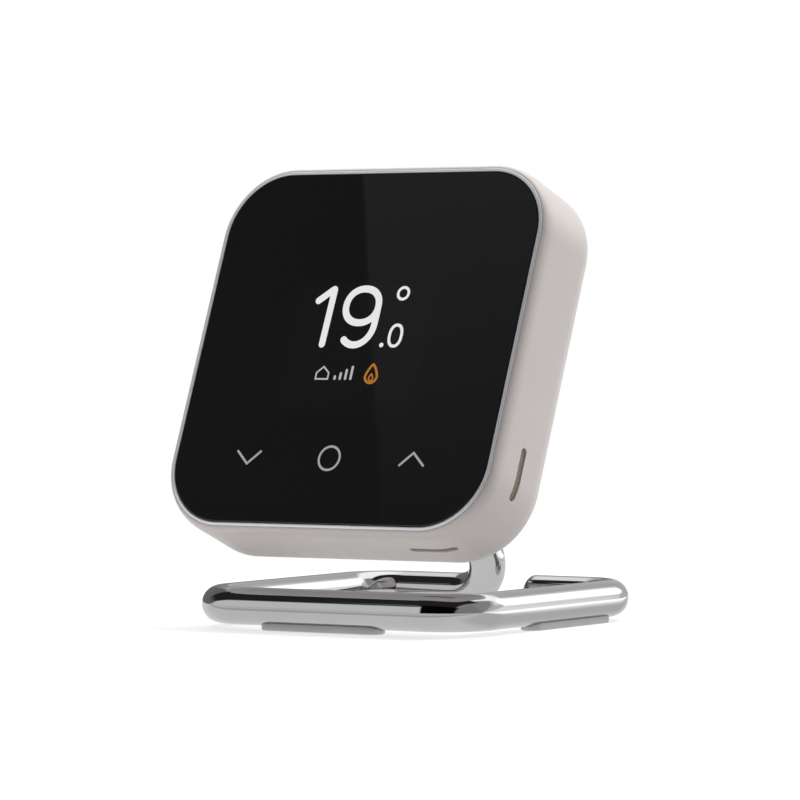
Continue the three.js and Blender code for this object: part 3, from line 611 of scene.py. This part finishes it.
def make_touch_symbols(grey):
    y, size, width = -24.95, 2.95, 0.5
    for name, x, sign in (("symbol_down", -20.8, -1), ("symbol_up", 20.9, 1)):
        low = y - sign * 1.25
        lit_piece(stroke(name, [(x - size, low), (x, y + sign * 1.5), (x + size, low)], width), grey)
    lit_piece(stroke("symbol_ring", ellipse(0.0, y, 2.6, 2.6, steps=96), width, closed=True), grey)


# ------------ back plate, socket and screws
def backwards(x, y, depth):
    """A matrix for a piece that starts at that place in the panel's axes, with its +Z pointing backwards."""
    return panel.matrix @ Matrix.Translation((x, y, -depth)) @ Matrix.Rotation(math.pi, 4, "X")


def make_back_plate():
    half, front, back = PLATE["half"], PLATE["front"], BODY["depth"]
    corner = half - (BODY["half"] - BODY["corner"])

    def outline(inset):
        return round_square(half - inset, corner - inset)

    plate = round_plate("back_cover", outline, front, back, 0.3)
    cutters = []
    for side in (-1, 1):
        x = side * WALL_SLOT["x"]
        slot_half, slot_long = WALL_SLOT["width"] / 2, WALL_SLOT["length"] / 2
        shape = round_square(slot_half, slot_half - 0.01, slot_long, centre=(x, 0))
        cutters.append(panel_prism("slot", shape, front - 1, back + 1))
        relief = round_square(slot_half + 0.9, slot_half + 0.89, slot_long + 0.9, centre=(x, 0))
        cutters.append(panel_prism("relief", relief, back - 0.35, back + 1))
    hole = PLATE["hole"]
    cutters.append(panel_prism("hole", round_square(hole, hole - 0.01), front - 1, back + 1))
    for i in range(GRIP["count"]):
        ridge = round_square(GRIP["half"], 0.34, 0.35, centre=(0, GRIP["y"] + i * GRIP["pitch"]), steps=6)
        cutters.append(panel_prism("grip", ridge, back - 0.3, back + 1))
    combine(plate, cutters, "DIFFERENCE")
    clips = []
    for sx, sy in CORNERS:
        shape = round_square(CLIP["half"], 0.25, 0.6, centre=(sx * CLIP["x"], sy * CLIP["y"]), steps=3)
        clips.append(panel_prism("clip", shape, front - CLIP["reach"], front + 0.4))
    combine(plate, clips, "UNION")
    bevel_edges(plate, 0.12)
    finish(plate, "mount", "body_plastic", "back_plate")


def make_socket():
    half_x, half_y = FLANGE["half_x"], FLANGE["half_y"]
    front, back = FLANGE["front"], FLANGE["back"]

    def outline(inset):
        return round_square(half_x - inset, half_y - 0.01 - inset, half_y - inset, steps=24)

    flange = round_plate("socket_flange", outline, front, back, 0.45)
    radius, length = SOCKET["tube"], SOCKET["length"]
    place = backwards(0, 0, SOCKET["tube_start"])
    tube = turned("tube", [(0, 0), (radius - 0.4, 0), (radius, 0.4), (radius, length), (0, length)], place)
    radius, place = SOCKET["collar"], backwards(0, 0, back - 0.3)
    collar = turned("collar", [(0, 0), (radius, 0), (radius, 0.45), (radius - 0.6, 0.9), (0, 0.9)], place)
    combine(flange, [tube, collar], "UNION")
    radius, place = SOCKET["bore"], backwards(0, 0, SOCKET["bore_start"])
    cuts = [turned("bore", [(0, 0), (radius, 0), (radius, 14), (0, 14)], place)]
    for side in (-1, 1):
        place = backwards(side * FLANGE["screw_x"], 0, front - 1)
        cuts.append(turned("screw_hole", [(0, 0), (1.2, 0), (1.2, 4), (0, 4)], place, sides=24))
        place = backwards(side * FLANGE["screw_x"], 0, back - 0.18)
        cuts.append(turned("screw_seat", [(0, 0), (2.4, 0), (2.7, 1), (0, 1)], place, sides=32))
    combine(flange, cuts, "DIFFERENCE")
    key = round_square(KEY["half_x"], 0.2, KEY["half_y"], steps=3)
    combine(flange, [panel_prism("key", key, KEY["front"], KEY["back"])], "UNION")
    bevel_edges(flange, 0.1, angle=55)
    finish(flange, "mount", "tray_grey", "stand_socket")


def make_sleeve():
    """The rubber sleeve in the socket, with a lip that shows round the rod."""
    bore, outside, lip = SLEEVE["bore"], SLEEVE["outside"], SLEEVE["lip"]
    front, lip_front, back = SLEEVE["front"], SLEEVE["lip_front"], SLEEVE["back"]
    profile = [(outside, front), (outside, lip_front - 0.1), (lip, lip_front), (lip, back - 0.3)]
    profile += [(lip - 0.35, back), (bore + 0.35, back), (bore, back - 0.35), (bore, front)]
    rings = [circle(radius, -depth, 56) for radius, depth in profile]
    sleeve = loft("rod_sleeve", rings, closed=True, matrix=panel.matrix)
    finish(sleeve, "mount", "dark_rubber", "socket_sleeve")


def make_screw(node, body, x, y, seat, size):
    """A pan-head screw with a cross recess. Its head points backwards."""
    (head_radius, head), length, radius = size["head"], size["length"], SCREW_RADIUS
    profile = [(0, -length), (radius * 0.35, -length), (radius, -length + radius)]
    turns = int((length - radius) / THREAD_PITCH)
    for i in range(turns):
        z = -length + radius + i * (length - radius) / turns
        profile += [(radius, z + 0.1), (radius * 0.72, z + 0.32)]
    profile += [(radius, -0.05), (radius, 0), (head_radius - 0.1, 0), (head_radius, 0.1)]
    for a in (0.15, 0.5, 0.9, 1.3):
        crown = head_radius - 0.1 - (head_radius * 0.3) * (1 - math.cos(a))
        profile.append((crown, head * 0.35 + head * 0.6 * math.sin(a)))
    profile += [(0, head * 0.97)]
    place = backwards(x, y, seat)
    screw = turned(node + "_shape", profile, place, sides=28)
    cuts = []
    for turn in (0.4, 0.4 + math.pi / 2):
        outline = round_square(head_radius * 0.6, 0.12, 0.24, steps=3)
        matrix = place @ Matrix.Rotation(turn, 4, "Z")
        cuts.append(prism("recess", outline, head * 0.35, head * 1.5, matrix))
    combine(screw, cuts, "DIFFERENCE")
    tidy_mesh(screw.data)
    finish(screw, body, "steel", node)


def make_screws():
    for side, x in (("left", -FLANGE["screw_x"]), ("right", FLANGE["screw_x"])):
        make_screw(f"socket_screw_{side}", "mount", x, 0, FLANGE["back"] + 0.1, SOCKET_SCREW)
    for i, (sx, sy) in enumerate(CORNERS):
        x, y = sx * TRAY_SCREW["x"], sy * TRAY_SCREW["x"]
        make_screw(f"tray_screw_{i + 1}", "head", x, y, TRAY_SCREW["seat"], TRAY_SCREW)


# ------------ what shows when the head is off its plate
def make_cell(side):
    """An AA cell: a steel can, a printed sleeve that wraps its edges, and the cap with its nub."""
    node = f"battery_{side}"
    sign = -1 if side == "left" else 1
    radius, length = CELL["radius"], CELL["length"]
    upright = Matrix.Rotation(sign * math.pi / 2, 4, "X")
    start = Matrix.Translation((0, 0, -CELL["start"]))
    matrix = panel.matrix @ Matrix.Translation((sign * CELL["x"], 0, -CELL["depth"])) @ upright @ start
    fold = 0.6
    sleeve = [(0, 0.12), (radius - 1.6, 0.12), (radius - 0.75, 0.1)]
    sleeve += arc(fold, -90, 0, 6, radius - fold, 0.62) + arc(fold, 0, 90, 6, radius - fold, length - 0.62)
    sleeve += [(radius - 1.4, length - 0.1), (0, length - 0.1)]
    body = turned(node + "_sleeve", sleeve, matrix, sides=56)
    nub = NUB["radius"]
    end = length + NUB["height"]
    cap = [(0, length - 0.4), (5.2, length - 0.4), (5.2, length - 0.02), (nub + 0.5, length)]
    cap += [(nub, length + 0.25), (nub, length + 0.9), (nub - 0.3, end), (0, end)]
    top = turned(node + "_cap", cap, matrix, sides=48)
    base = turned(node + "_base", [(0, 0), (5.0, 0), (5.2, 0.1), (5.2, 0.5), (0, 0.5)], matrix, sides=48)
    finish(body, "head", "cell_sleeve", node)
    finish(top, "head", "nickel")
    finish(base, "head", "nickel")
    body.data.materials.append(cell_wrap(side))


def make_reset_button():
    radius, tall = RESET["radius"], RESET["back"] - RESET["front"]
    profile = [(0, 0), (radius + 0.9, 0), (radius + 1.0, 0.1), (radius + 1.0, 1.1), (radius, 1.2)]
    profile += [(radius, tall - 0.45), *arc(0.45, 0, 80, 6, radius - 0.45, tall - 0.45)]
    profile += [(radius - 0.7, tall - 0.15), (0, tall - 0.25)]
    button = turned("reset_key_cap", profile, backwards(0, RESET["y"], RESET["front"]), sides=40)
    finish(button, "reset_key", "white_plastic", "reset_button")


def soften_cad(node):
    """Small round edges on a CAD piece that keeps its own shape. Modifiers leave the CAD mesh as it is."""
    obj = frame["nodes"][node]
    weld = obj.modifiers.new("weld", "WELD")
    weld.merge_threshold = 1e-6
    add_bevel(obj, 0.15, 40)


# ------------ materials
class Tree:
    """A short way to build a node tree."""

    def __init__(self, owner):
        owner.use_nodes = True
        self.tree = owner.node_tree

    def add(self, kind, inputs=None, **settings):
        node = self.tree.nodes.new(kind)
        for key, value in settings.items():
            setattr(node, key, value)
        for key, value in (inputs or {}).items():
            self.feed(node.inputs[key], value)
        return node

    def feed(self, socket, value):
        """Links another node's output to the socket, or sets its value."""
        if isinstance(value, bpy.types.NodeSocket):
            self.tree.links.new(value, socket)
        else:
            socket.default_value = value

    def math(self, operation, *values):
        return self.add("ShaderNodeMath", dict(enumerate(values)), operation=operation).outputs[0]

    def blend(self, factor, first, second):
        """A number from first to second as factor goes from 0 to 1."""
        return self.add("ShaderNodeMix", {0: factor, 2: first, 3: second}).outputs[0]

    def vector(self, operation, first, second, output="Vector"):
        inputs = {0: first, 1: tuple(second)}
        return self.add("ShaderNodeVectorMath", inputs, operation=operation).outputs[output]

    def between(self, factor, low, high, start=0.3, end=0.7):
        """A number that goes from low to high as factor goes from start to end."""
        inputs = {"Value": factor, "From Min": start, "From Max": end, "To Min": low, "To Max": high}
        return self.add("ShaderNodeMapRange", inputs).outputs["Result"]

    def inside(self, value, low, high, soft):
        """1 where value lies between low and high, and 0 outside, with edges that soft."""
        rise = self.between(value, 0.0, 1.0, low - soft, low + soft)
        return self.math("MULTIPLY", rise, self.between(value, 1.0, 0.0, high - soft, high + soft))

    def tint(self, factor, first, second):
        """A colour from first to second as factor goes from 0 to 1."""
        ramp = self.add("ShaderNodeValToRGB", {"Fac": factor})
        ramp.color_ramp.elements[0].color = (*first, 1)
        ramp.color_ramp.elements[1].color = (*second, 1)
        return ramp.outputs["Color"]


class Nodes(Tree):
    """A material's node tree round its Principled shader."""

    def __init__(self, name):
        self.material = bpy.data.materials.new(name)
        super().__init__(self.material)
        self.shader = self.tree.nodes["Principled BSDF"]
        self.place = self.add("ShaderNodeTexCoord").outputs["Object"]

    def set(self, **values):
        for key, value in values.items():
            self.feed(self.shader.inputs[key.replace("_", " ")], value)

    def from_middle(self, node):
        """The place on the surface, from the middle of that CAD node's box."""
        low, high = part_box(node)
        return self.vector("SUBTRACT", self.place, (low + high) / 2)

    def noise(self, size_mm, detail, rough=0.5):
        inputs = {"Vector": self.place, "Scale": 1 / (size_mm * MM), "Detail": detail, "Roughness": rough}
        return self.add("ShaderNodeTexNoise", inputs).outputs["Fac"]

    def bump(self, height, strength, distance_mm):
        inputs = {"Height": height, "Strength": strength, "Distance": distance_mm * MM}
        self.set(Normal=self.add("ShaderNodeBump", inputs).outputs["Normal"])


def scaled(colour, factor):
    return tuple(min(1.0, c * factor) for c in colour)


def moulded(name, colour, roughness, grain_mm=0.22, grain=0.25, vary=0.03):
    """Moulded plastic or rubber: fine grain, a little colour drift, and roughness that varies with it."""
    nodes = Nodes(name)
    drift = nodes.between(nodes.noise(9.0, 2.0), 0.0, 1.0)
    nodes.set(Base_Color=nodes.tint(drift, scaled(colour, 1 - vary), scaled(colour, 1 + vary)))
    nodes.set(Roughness=nodes.between(nodes.noise(2.5, 4.0), roughness - 0.05, roughness + 0.05))
    nodes.bump(nodes.noise(grain_mm, 4.0, 0.6), grain, 0.02)
    return nodes.material


def metal(name, colour, roughness, wear=0.02, metallic=1.0):
    """Metal, with faint smears in its polish."""
    nodes = Nodes(name)
    smear = nodes.noise(14.0, 5.0, 0.55)
    tone = nodes.between(smear, 0.0, 1.0)
    nodes.set(Base_Color=nodes.tint(tone, scaled(colour, 0.97), scaled(colour, 1.02)), Metallic=metallic)
    nodes.set(Roughness=nodes.between(smear, max(0.01, roughness - wear), roughness + wear))
    nodes.bump(nodes.noise(0.3, 3.0, 0.6), 0.02, 0.01)
    return nodes.material


def glowing(name, colour):
    """A printed symbol that is lit from behind, with the faint grain of its diffuser."""
    nodes = Nodes(name)
    grain = nodes.between(nodes.noise(0.35, 2.0), 0.0, 1.0)
    tone = nodes.tint(grain, scaled(colour, 0.96), colour)
    nodes.set(Base_Color=(0.02, 0.02, 0.02, 1), Roughness=0.3)
    nodes.set(Emission_Color=tone, Emission_Strength=1.0)
    return nodes.material


def black_glass():
    """Black glass, a shade lighter where the screen is behind it, with a soft edge round that area."""
    nodes = Nodes("black_glass")
    offset = nodes.from_middle("display_gasket")
    masks = []
    for axis, half in ((panel.right, WINDOW["half_x"]), (panel.up, WINDOW["half_y"])):
        distance = nodes.math("ABSOLUTE", nodes.vector("DOT_PRODUCT", offset, axis, "Value"))
        start, end = (half - WINDOW["soft"]) * MM, (half + WINDOW["soft"]) * MM
        masks.append(nodes.between(distance, 1.0, 0.0, start, end))
    window = nodes.math("MULTIPLY", *masks)
    nodes.set(Base_Color=nodes.tint(window, (0.0126, 0.0126, 0.0128), (0.0148, 0.0148, 0.0150)))
    nodes.set(Roughness=nodes.between(nodes.noise(11.0, 4.0), 0.004, 0.010), IOR=1.5)
    nodes.bump(nodes.noise(6.0, 2.0), 0.004, 0.01)
    return nodes.material


def board():
    """Green solder mask with copper traces under it."""
    nodes = Nodes("circuit_board")
    lines = nodes.add("ShaderNodeTexBrick", {
        "Vector": nodes.place, "Scale": 260.0, "Mortar Size": 0.09,
        "Color1": (0.01, 0.09, 0.035, 1), "Color2": (0.012, 0.10, 0.04, 1), "Mortar": (0.03, 0.19, 0.08, 1),
    })
    nodes.set(Base_Color=lines.outputs["Color"], Roughness=0.35)
    nodes.bump(lines.outputs["Fac"], 0.2, 0.02)
    return nodes.material


def cell_wrap(side):
    """The cell's printed sleeve: a dark body with a pale band near its flat end."""
    nodes = Nodes(f"cell_wrap_{side}")
    axis = panel.up if side == "left" else -panel.up
    along = nodes.vector("DOT_PRODUCT", nodes.from_middle(f"battery_{side}"), axis, "Value")
    band_end = -9.1
    band = nodes.between(along, 1.0, 0.0, (band_end - 0.1) * MM, (band_end + 0.1) * MM)
    nodes.set(Base_Color=nodes.tint(band, (0.035, 0.055, 0.085), (0.62, 0.60, 0.55)))
    nodes.set(Roughness=nodes.between(nodes.noise(3.0, 3.0), 0.22, 0.32), Metallic=0.35)
    nodes.bump(nodes.noise(1.2, 2.0), 0.05, 0.02)
    return nodes.material


def make_materials():
    """One material for each of the record's slots."""
    return {
        "chrome": metal("chrome", (0.56, 0.56, 0.57), 0.04, wear=0.015),
        "foot_rubber": moulded("foot_rubber", (0.57, 0.57, 0.56), 0.55, grain_mm=0.4, grain=0.15),
        "body_plastic": moulded("body_plastic", (0.615, 0.570, 0.548), 0.40, grain=0.12, vary=0.012),
        "front_glass_black": black_glass(),
        "bezel_silver": metal("bezel_silver", (0.95, 0.94, 1.00), 0.24, metallic=0.35),
        "black_foam": moulded("black_foam", (0.012, 0.012, 0.012), 0.9, grain_mm=0.5, grain=0.8),
        "screen_black": moulded("screen_black", (0.012, 0.012, 0.014), 0.25, grain=0.05),
        "film_amber": moulded("film_amber", (0.42, 0.19, 0.04), 0.3, grain=0.05),
        "clear_plastic": moulded("clear_plastic", (0.80, 0.83, 0.83), 0.2, grain=0.03),
        "lit_symbol": moulded("light_guide", (0.80, 0.80, 0.78), 0.4, grain=0.03),
        "white_plastic": moulded("white_plastic", (0.78, 0.76, 0.70), 0.4, grain=0.08),
        "board_green": board(),
        "steel": metal("steel", (0.62, 0.62, 0.63), 0.28),
        "nickel": metal("nickel", (0.66, 0.63, 0.57), 0.26),
        "chip_black": moulded("chip_black", (0.014, 0.014, 0.015), 0.55, grain=0.4),
        # The brown of shield_taupe on the vent grilles is painted shade for the slots' shadowed insides.
        "shield_taupe": moulded("shield_taupe", (0.31, 0.245, 0.205), 0.6),
        "cell_sleeve": moulded("cell_sleeve", (0.05, 0.07, 0.10), 0.3, grain=0.05),
        "tray_grey": moulded("tray_grey", (0.40, 0.375, 0.355), 0.55, grain=0.3),
        "dark_rubber": moulded("dark_rubber", (0.02, 0.02, 0.02), 0.75, grain_mm=0.35, grain=0.4),
    }


def paint(materials):
    """Gives each CAD node and each made piece the material of its slot, unless it has its own."""
    slots = {part["node"]: part["material_slot"] for part in frame["record"]["subparts"]}
    for node, obj in frame["nodes"].items():
        obj.data.materials.clear()
        obj.data.materials.append(materials[slots[node]])
    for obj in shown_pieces():
        if "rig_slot" in obj and not [m for m in obj.data.materials if m]:
            obj.data.materials.clear()
            obj.data.materials.append(materials[obj["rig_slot"]])


# ------------ camera, floor and light
CAMERA = {"azimuth": 34.21, "elevation": 1.47, "roll": -0.4, "distance": 1.0807, "lens": 231.8}
AIM = (-9.62, 11.20)  # where the glass's middle lies right of and above the view's middle, millimetres


def make_camera():
    a, e, roll = (math.radians(CAMERA[angle]) for angle in ("azimuth", "elevation", "roll"))
    back = Vector((math.sin(a) * math.cos(e), -math.cos(a) * math.cos(e), math.sin(e)))
    level = Vector((math.cos(a), math.sin(a), 0))
    turn = Matrix.Rotation(roll, 3, back)
    right, up = turn @ level, turn @ back.cross(level)
    camera = bpy.data.objects.new("camera", bpy.data.cameras.new("camera"))
    bpy.context.scene.collection.objects.link(camera)
    axes = Matrix((right, up, back)).transposed().to_4x4()
    place = panel.centre - (right * AIM[0] + up * AIM[1]) * MM + back * CAMERA["distance"]
    camera.matrix_world = Matrix.Translation(place) @ axes
    camera.data.lens = CAMERA["lens"]
    camera.data.clip_start = 0.05
    bpy.context.scene.camera = camera


# How bright the floor is: its glow under the shadow that the camera sees, and its shades where the rod
# mirrors it, which hold painted shadow of the stand: the darker line in front of the rod, and the darker paper
# close to the right rail. FLOOR_LIGHT says how strongly each part of it lights the head.
FLOOR = {
    "glow": 0.66, "near": 0.80, "line": 0.52, "front": 0.70, "inside": 0.86, "right": 0.66, "right_far": 1.80,
}
FLOOR_LIGHT = {"back": 0.74, "right": 0.88, "front": 1.45, "front_right": 0.06}
# Where one shade gives way to the next, in millimetres from the rod's outer edge or else from the middle.
FLOOR_EDGES = {
    "line": (-19.0, -9.5), "near": (-13.0, -9.0), "front_rail": (-1.0, 4.0), "right_rail": (-4.0, 0.0),
    "right_far": (4.0, 22.0), "middle": (-12.0, 12.0), "light_right": (45.0, 80.0),
    "light_back": (-85.0, -55.0), "shadow_ends": (90.0, 260.0),
}


def make_floor():
    """A pale floor. The camera sees it near white, with the soft shadow of the stand on it.

    The rod mirrors it as paper that is darker in front and on the right, with painted shadow of the stand in it:
    a darker line in front of the rod, and darker paper close to the right rail. It lights the head from below.
    """
    bpy.ops.mesh.primitive_circle_add(vertices=96, radius=6.0, fill_type="NGON")
    floor = bpy.context.object
    floor.name = "floor"
    nodes = Nodes("floor")
    nodes.set(Base_Color=(0.5, 0.5, 0.5, 1), Roughness=0.95, Specular_IOR_Level=0.0)
    nodes.set(Emission_Color=(1, 1, 1, 1), Emission_Strength=FLOOR["glow"])
    blend = nodes.blend

    def plain(strength):
        return nodes.add("ShaderNodeEmission", {"Color": (1, 1, 1, 1), "Strength": strength}).outputs[0]

    def mix(factor, first, second):
        return nodes.add("ShaderNodeMixShader", {0: factor, 1: first, 2: second}).outputs[0]

    def past(value, edge, origin=0.0):
        start, end = FLOOR_EDGES[edge]
        return nodes.between(value, 0.0, 1.0, origin + start * MM, origin + end * MM)

    away = nodes.add("ShaderNodeVectorMath", {0: nodes.place}, operation="LENGTH").outputs["Value"]
    xyz = nodes.add("ShaderNodeSeparateXYZ", {0: nodes.place}).outputs
    x, y = xyz["X"], xyz["Y"]
    low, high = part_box("stand_rod")
    start, end = FLOOR_EDGES["line"]
    # painted shadow: a darker line across the floor in front of the rod, as the rod mirrors it
    line = nodes.inside(y, low.y + start * MM, low.y + end * MM, MM)
    in_front = blend(line, blend(past(y, "near", low.y), FLOOR["front"], FLOOR["near"]), FLOOR["line"])
    # painted shadow: the floor close to the right rail is darker, and brighter farther out
    right = blend(past(x, "right_far", high.x), FLOOR["right"], FLOOR["right_far"])
    beside = blend(past(y, "middle"), FLOOR["right"], right)
    behind = blend(past(x, "right_rail", high.x), FLOOR["inside"], beside)
    paper = blend(past(y, "front_rail", low.y), in_front, behind)
    side = past(x, "light_right")
    front_light = blend(side, FLOOR_LIGHT["front"], FLOOR_LIGHT["front_right"])
    back_light = blend(side, FLOOR_LIGHT["back"], FLOOR_LIGHT["right"])
    light = blend(past(y, "light_back"), front_light, back_light)
    ray = nodes.add("ShaderNodeLightPath").outputs
    seen = mix(past(away, "shadow_ends"), nodes.shader.outputs[0], plain(1.0))
    mirrored_or_lit = mix(ray["Is Diffuse Ray"], plain(paper), plain(light))
    surface = mix(ray["Is Camera Ray"], mirrored_or_lit, seen)
    nodes.tree.links.new(surface, nodes.tree.nodes["Material Output"].inputs["Surface"])
    floor.data.materials.append(nodes.material)


# The studio, by direction. Each entry is a patch of the surroundings: x is the direction's x, and the sweep
# is the angle in degrees from level in front, over the top (90), to level behind (180). Later entries cover
# earlier ones. The glass and the front rail mirror x near -0.56. The side rails mirror the patches behind.
SURROUNDINGS = (
    # x from, x to, sweep from, sweep to, softness of x, softness of sweep, brightness
    (-1.1, 1.1, -20, 200, 0.02, 4, 0.69),       # walls
    (-0.55, 0.60, 92, 146, 0.15, 8, 1.54),      # ceiling light
    (-1.1, 0.06, 140, 200, 0.08, 6, 0.58),      # grey wall, left behind
    (-1.1, -0.50, 158, 200, 0.04, 6, 0.25),     # dark corner, far left behind
    (-1.1, -0.64, 20, 200, 0.05, 8, 0.18),      # dark wall, left
    (0.16, 0.50, 140, 164, 0.06, 4, 2.45),      # strip light, right behind
    (0.48, 1.1, 160, 200, 0.06, 5, 1.17),       # pale wall, right behind
    (-0.95, -0.36, -60, 37, 0.03, 2, 0.80),     # reflector, left in front
    (0.62, 1.1, -60, 92, 0.05, 8, 0.29),        # grey wall, right in front
    (0.42, 1.1, 80, 130, 0.06, 6, 0.36),        # grey wall, right
    (-0.95, 0.60, 37, 100, 0.05, 3, 0.023),     # black flag over the camera
    (-0.36, 0.66, -70, 44, 0.03, 4, 0.002),     # dark room behind the camera
)
BELOW = 0.45  # how bright it is under all those patches
# The slightly brighter strip that the glass mirrors: where its edge crosses the glass, the x and the sweep
# that it fills, the sweeps at the glass's bottom and top, and its brightness there.
GLARE = {
    "line": ((-8.1, 40.8), (17.1, -40.5)), "x": (-0.9, -0.46), "sweep": (39.0, 47.5),
    "ends": (40.8, 45.6), "levels": (0.045, 0.185),
}
# Name, direction from the glass, distance and width in metres, and watts.
LIGHTS = (
    ("key", (0.30, 0.36, 0.88), 0.6, 0.3, 2.6),
    ("top", (-0.50, 0.10, 0.86), 0.7, 0.5, 2.0),
)


def make_world():
    """Plain white to the camera, and the studio to everything else."""
    world = bpy.data.worlds.new("studio")
    bpy.context.scene.world = world
    tree = Tree(world)
    background = tree.tree.nodes["Background"]
    towards = tree.add("ShaderNodeTexCoord").outputs["Generated"]
    xyz = tree.add("ShaderNodeSeparateXYZ", {0: towards}).outputs
    x = xyz["X"]
    turn = tree.math("ARCTAN2", xyz["Z"], tree.math("MULTIPLY", xyz["Y"], -1.0))
    # From -90 (straight down) over the top to 270, so that the seam lies under the floor.
    degrees = tree.math("MULTIPLY", turn, 180 / math.pi)
    lift = tree.math("MULTIPLY", tree.math("LESS_THAN", degrees, -90.0), 360.0)
    sweep = tree.math("ADD", degrees, lift)
    light = BELOW
    for x_from, x_to, sweep_from, sweep_to, soft_x, soft_sweep, brightness in SURROUNDINGS:
        across = tree.inside(x, x_from, x_to, soft_x)
        where = tree.math("MULTIPLY", across, tree.inside(sweep, sweep_from, sweep_to, soft_sweep))
        light = tree.blend(where, light, brightness)
    light = add_glare(tree, towards, x, sweep, light)
    strength = tree.blend(tree.add("ShaderNodeLightPath").outputs["Is Camera Ray"], light, 1.0)
    background.inputs["Color"].default_value = (1, 1, 1, 1)
    tree.tree.links.new(strength, background.inputs["Strength"])


def mirrored(point):
    """The direction in which the camera sees the surroundings, mirrored in the glass at that panel point."""
    place = panel.at(*point)
    view = (place - bpy.context.scene.camera.matrix_world.translation).normalized()
    return view - 2 * view.dot(panel.out) * panel.out


def add_glare(tree, towards, x, sweep, light):
    """Adds the strip whose straight edge the glass mirrors."""
    start, end = (mirrored(point) for point in GLARE["line"])
    normal = start.cross(end).normalized()
    if normal.dot(mirrored((GLARE["line"][0][0] + 20, 0))) < 0:
        normal = -normal
    right = tree.between(tree.vector("DOT_PRODUCT", towards, normal, "Value"), 0.0, 1.0, -0.0004, 0.0004)
    where = tree.math("MULTIPLY", right, tree.inside(sweep, *GLARE["sweep"], 1.0))
    where = tree.math("MULTIPLY", where, tree.inside(x, *GLARE["x"], 0.02))
    return tree.blend(where, light, tree.between(sweep, *GLARE["levels"], *GLARE["ends"]))


def area_light(name, towards, distance, size, power):
    """A soft light that shines on the head from that direction, and isn't mirrored in the chrome."""
    towards = Vector(towards).normalized()
    light = bpy.data.lights.new(name, "AREA")
    light.shape = "DISK"
    light.size = size
    light.energy = power
    obj = bpy.data.objects.new(name, light)
    bpy.context.scene.collection.objects.link(obj)
    turn = towards.to_track_quat("Z", "Y").to_matrix().to_4x4()
    obj.matrix_world = Matrix.Translation(panel.centre + towards * distance) @ turn
    obj.visible_glossy = False


def make_studio():
    make_world()
    make_floor()
    for light in LIGHTS:
        area_light(*light)
    bpy.context.scene.view_settings.view_transform = "Standard"
    bpy.context.scene.view_settings.look = "None"


# ------------ the object
def main():
    make_camera()
    make_rod()
    make_end_plug()
    for side in ("front", "left", "right"):
        make_foot(side)
    make_housing()
    make_vent_shade_inserts()
    make_bezel()
    make_glass()
    make_reading(glowing("lit_white", (0.79, 0.79, 0.79)))
    make_status_symbols(glowing("lit_label", (0.44, 0.44, 0.45)), glowing("lit_amber", (0.42, 0.145, 0.009)))
    make_touch_symbols(glowing("lit_grey", (0.33, 0.34, 0.365)))
    make_back_plate()
    make_socket()
    make_sleeve()
    make_screws()
    for side in ("left", "right"):
        make_cell(side)
    make_reset_button()
    paint(make_materials())
    soften_cad("battery_tray")
    for end in ("left_top", "right_top", "left_bottom", "right_bottom"):
        soften_cad("contact_" + end)
    make_studio()


main()
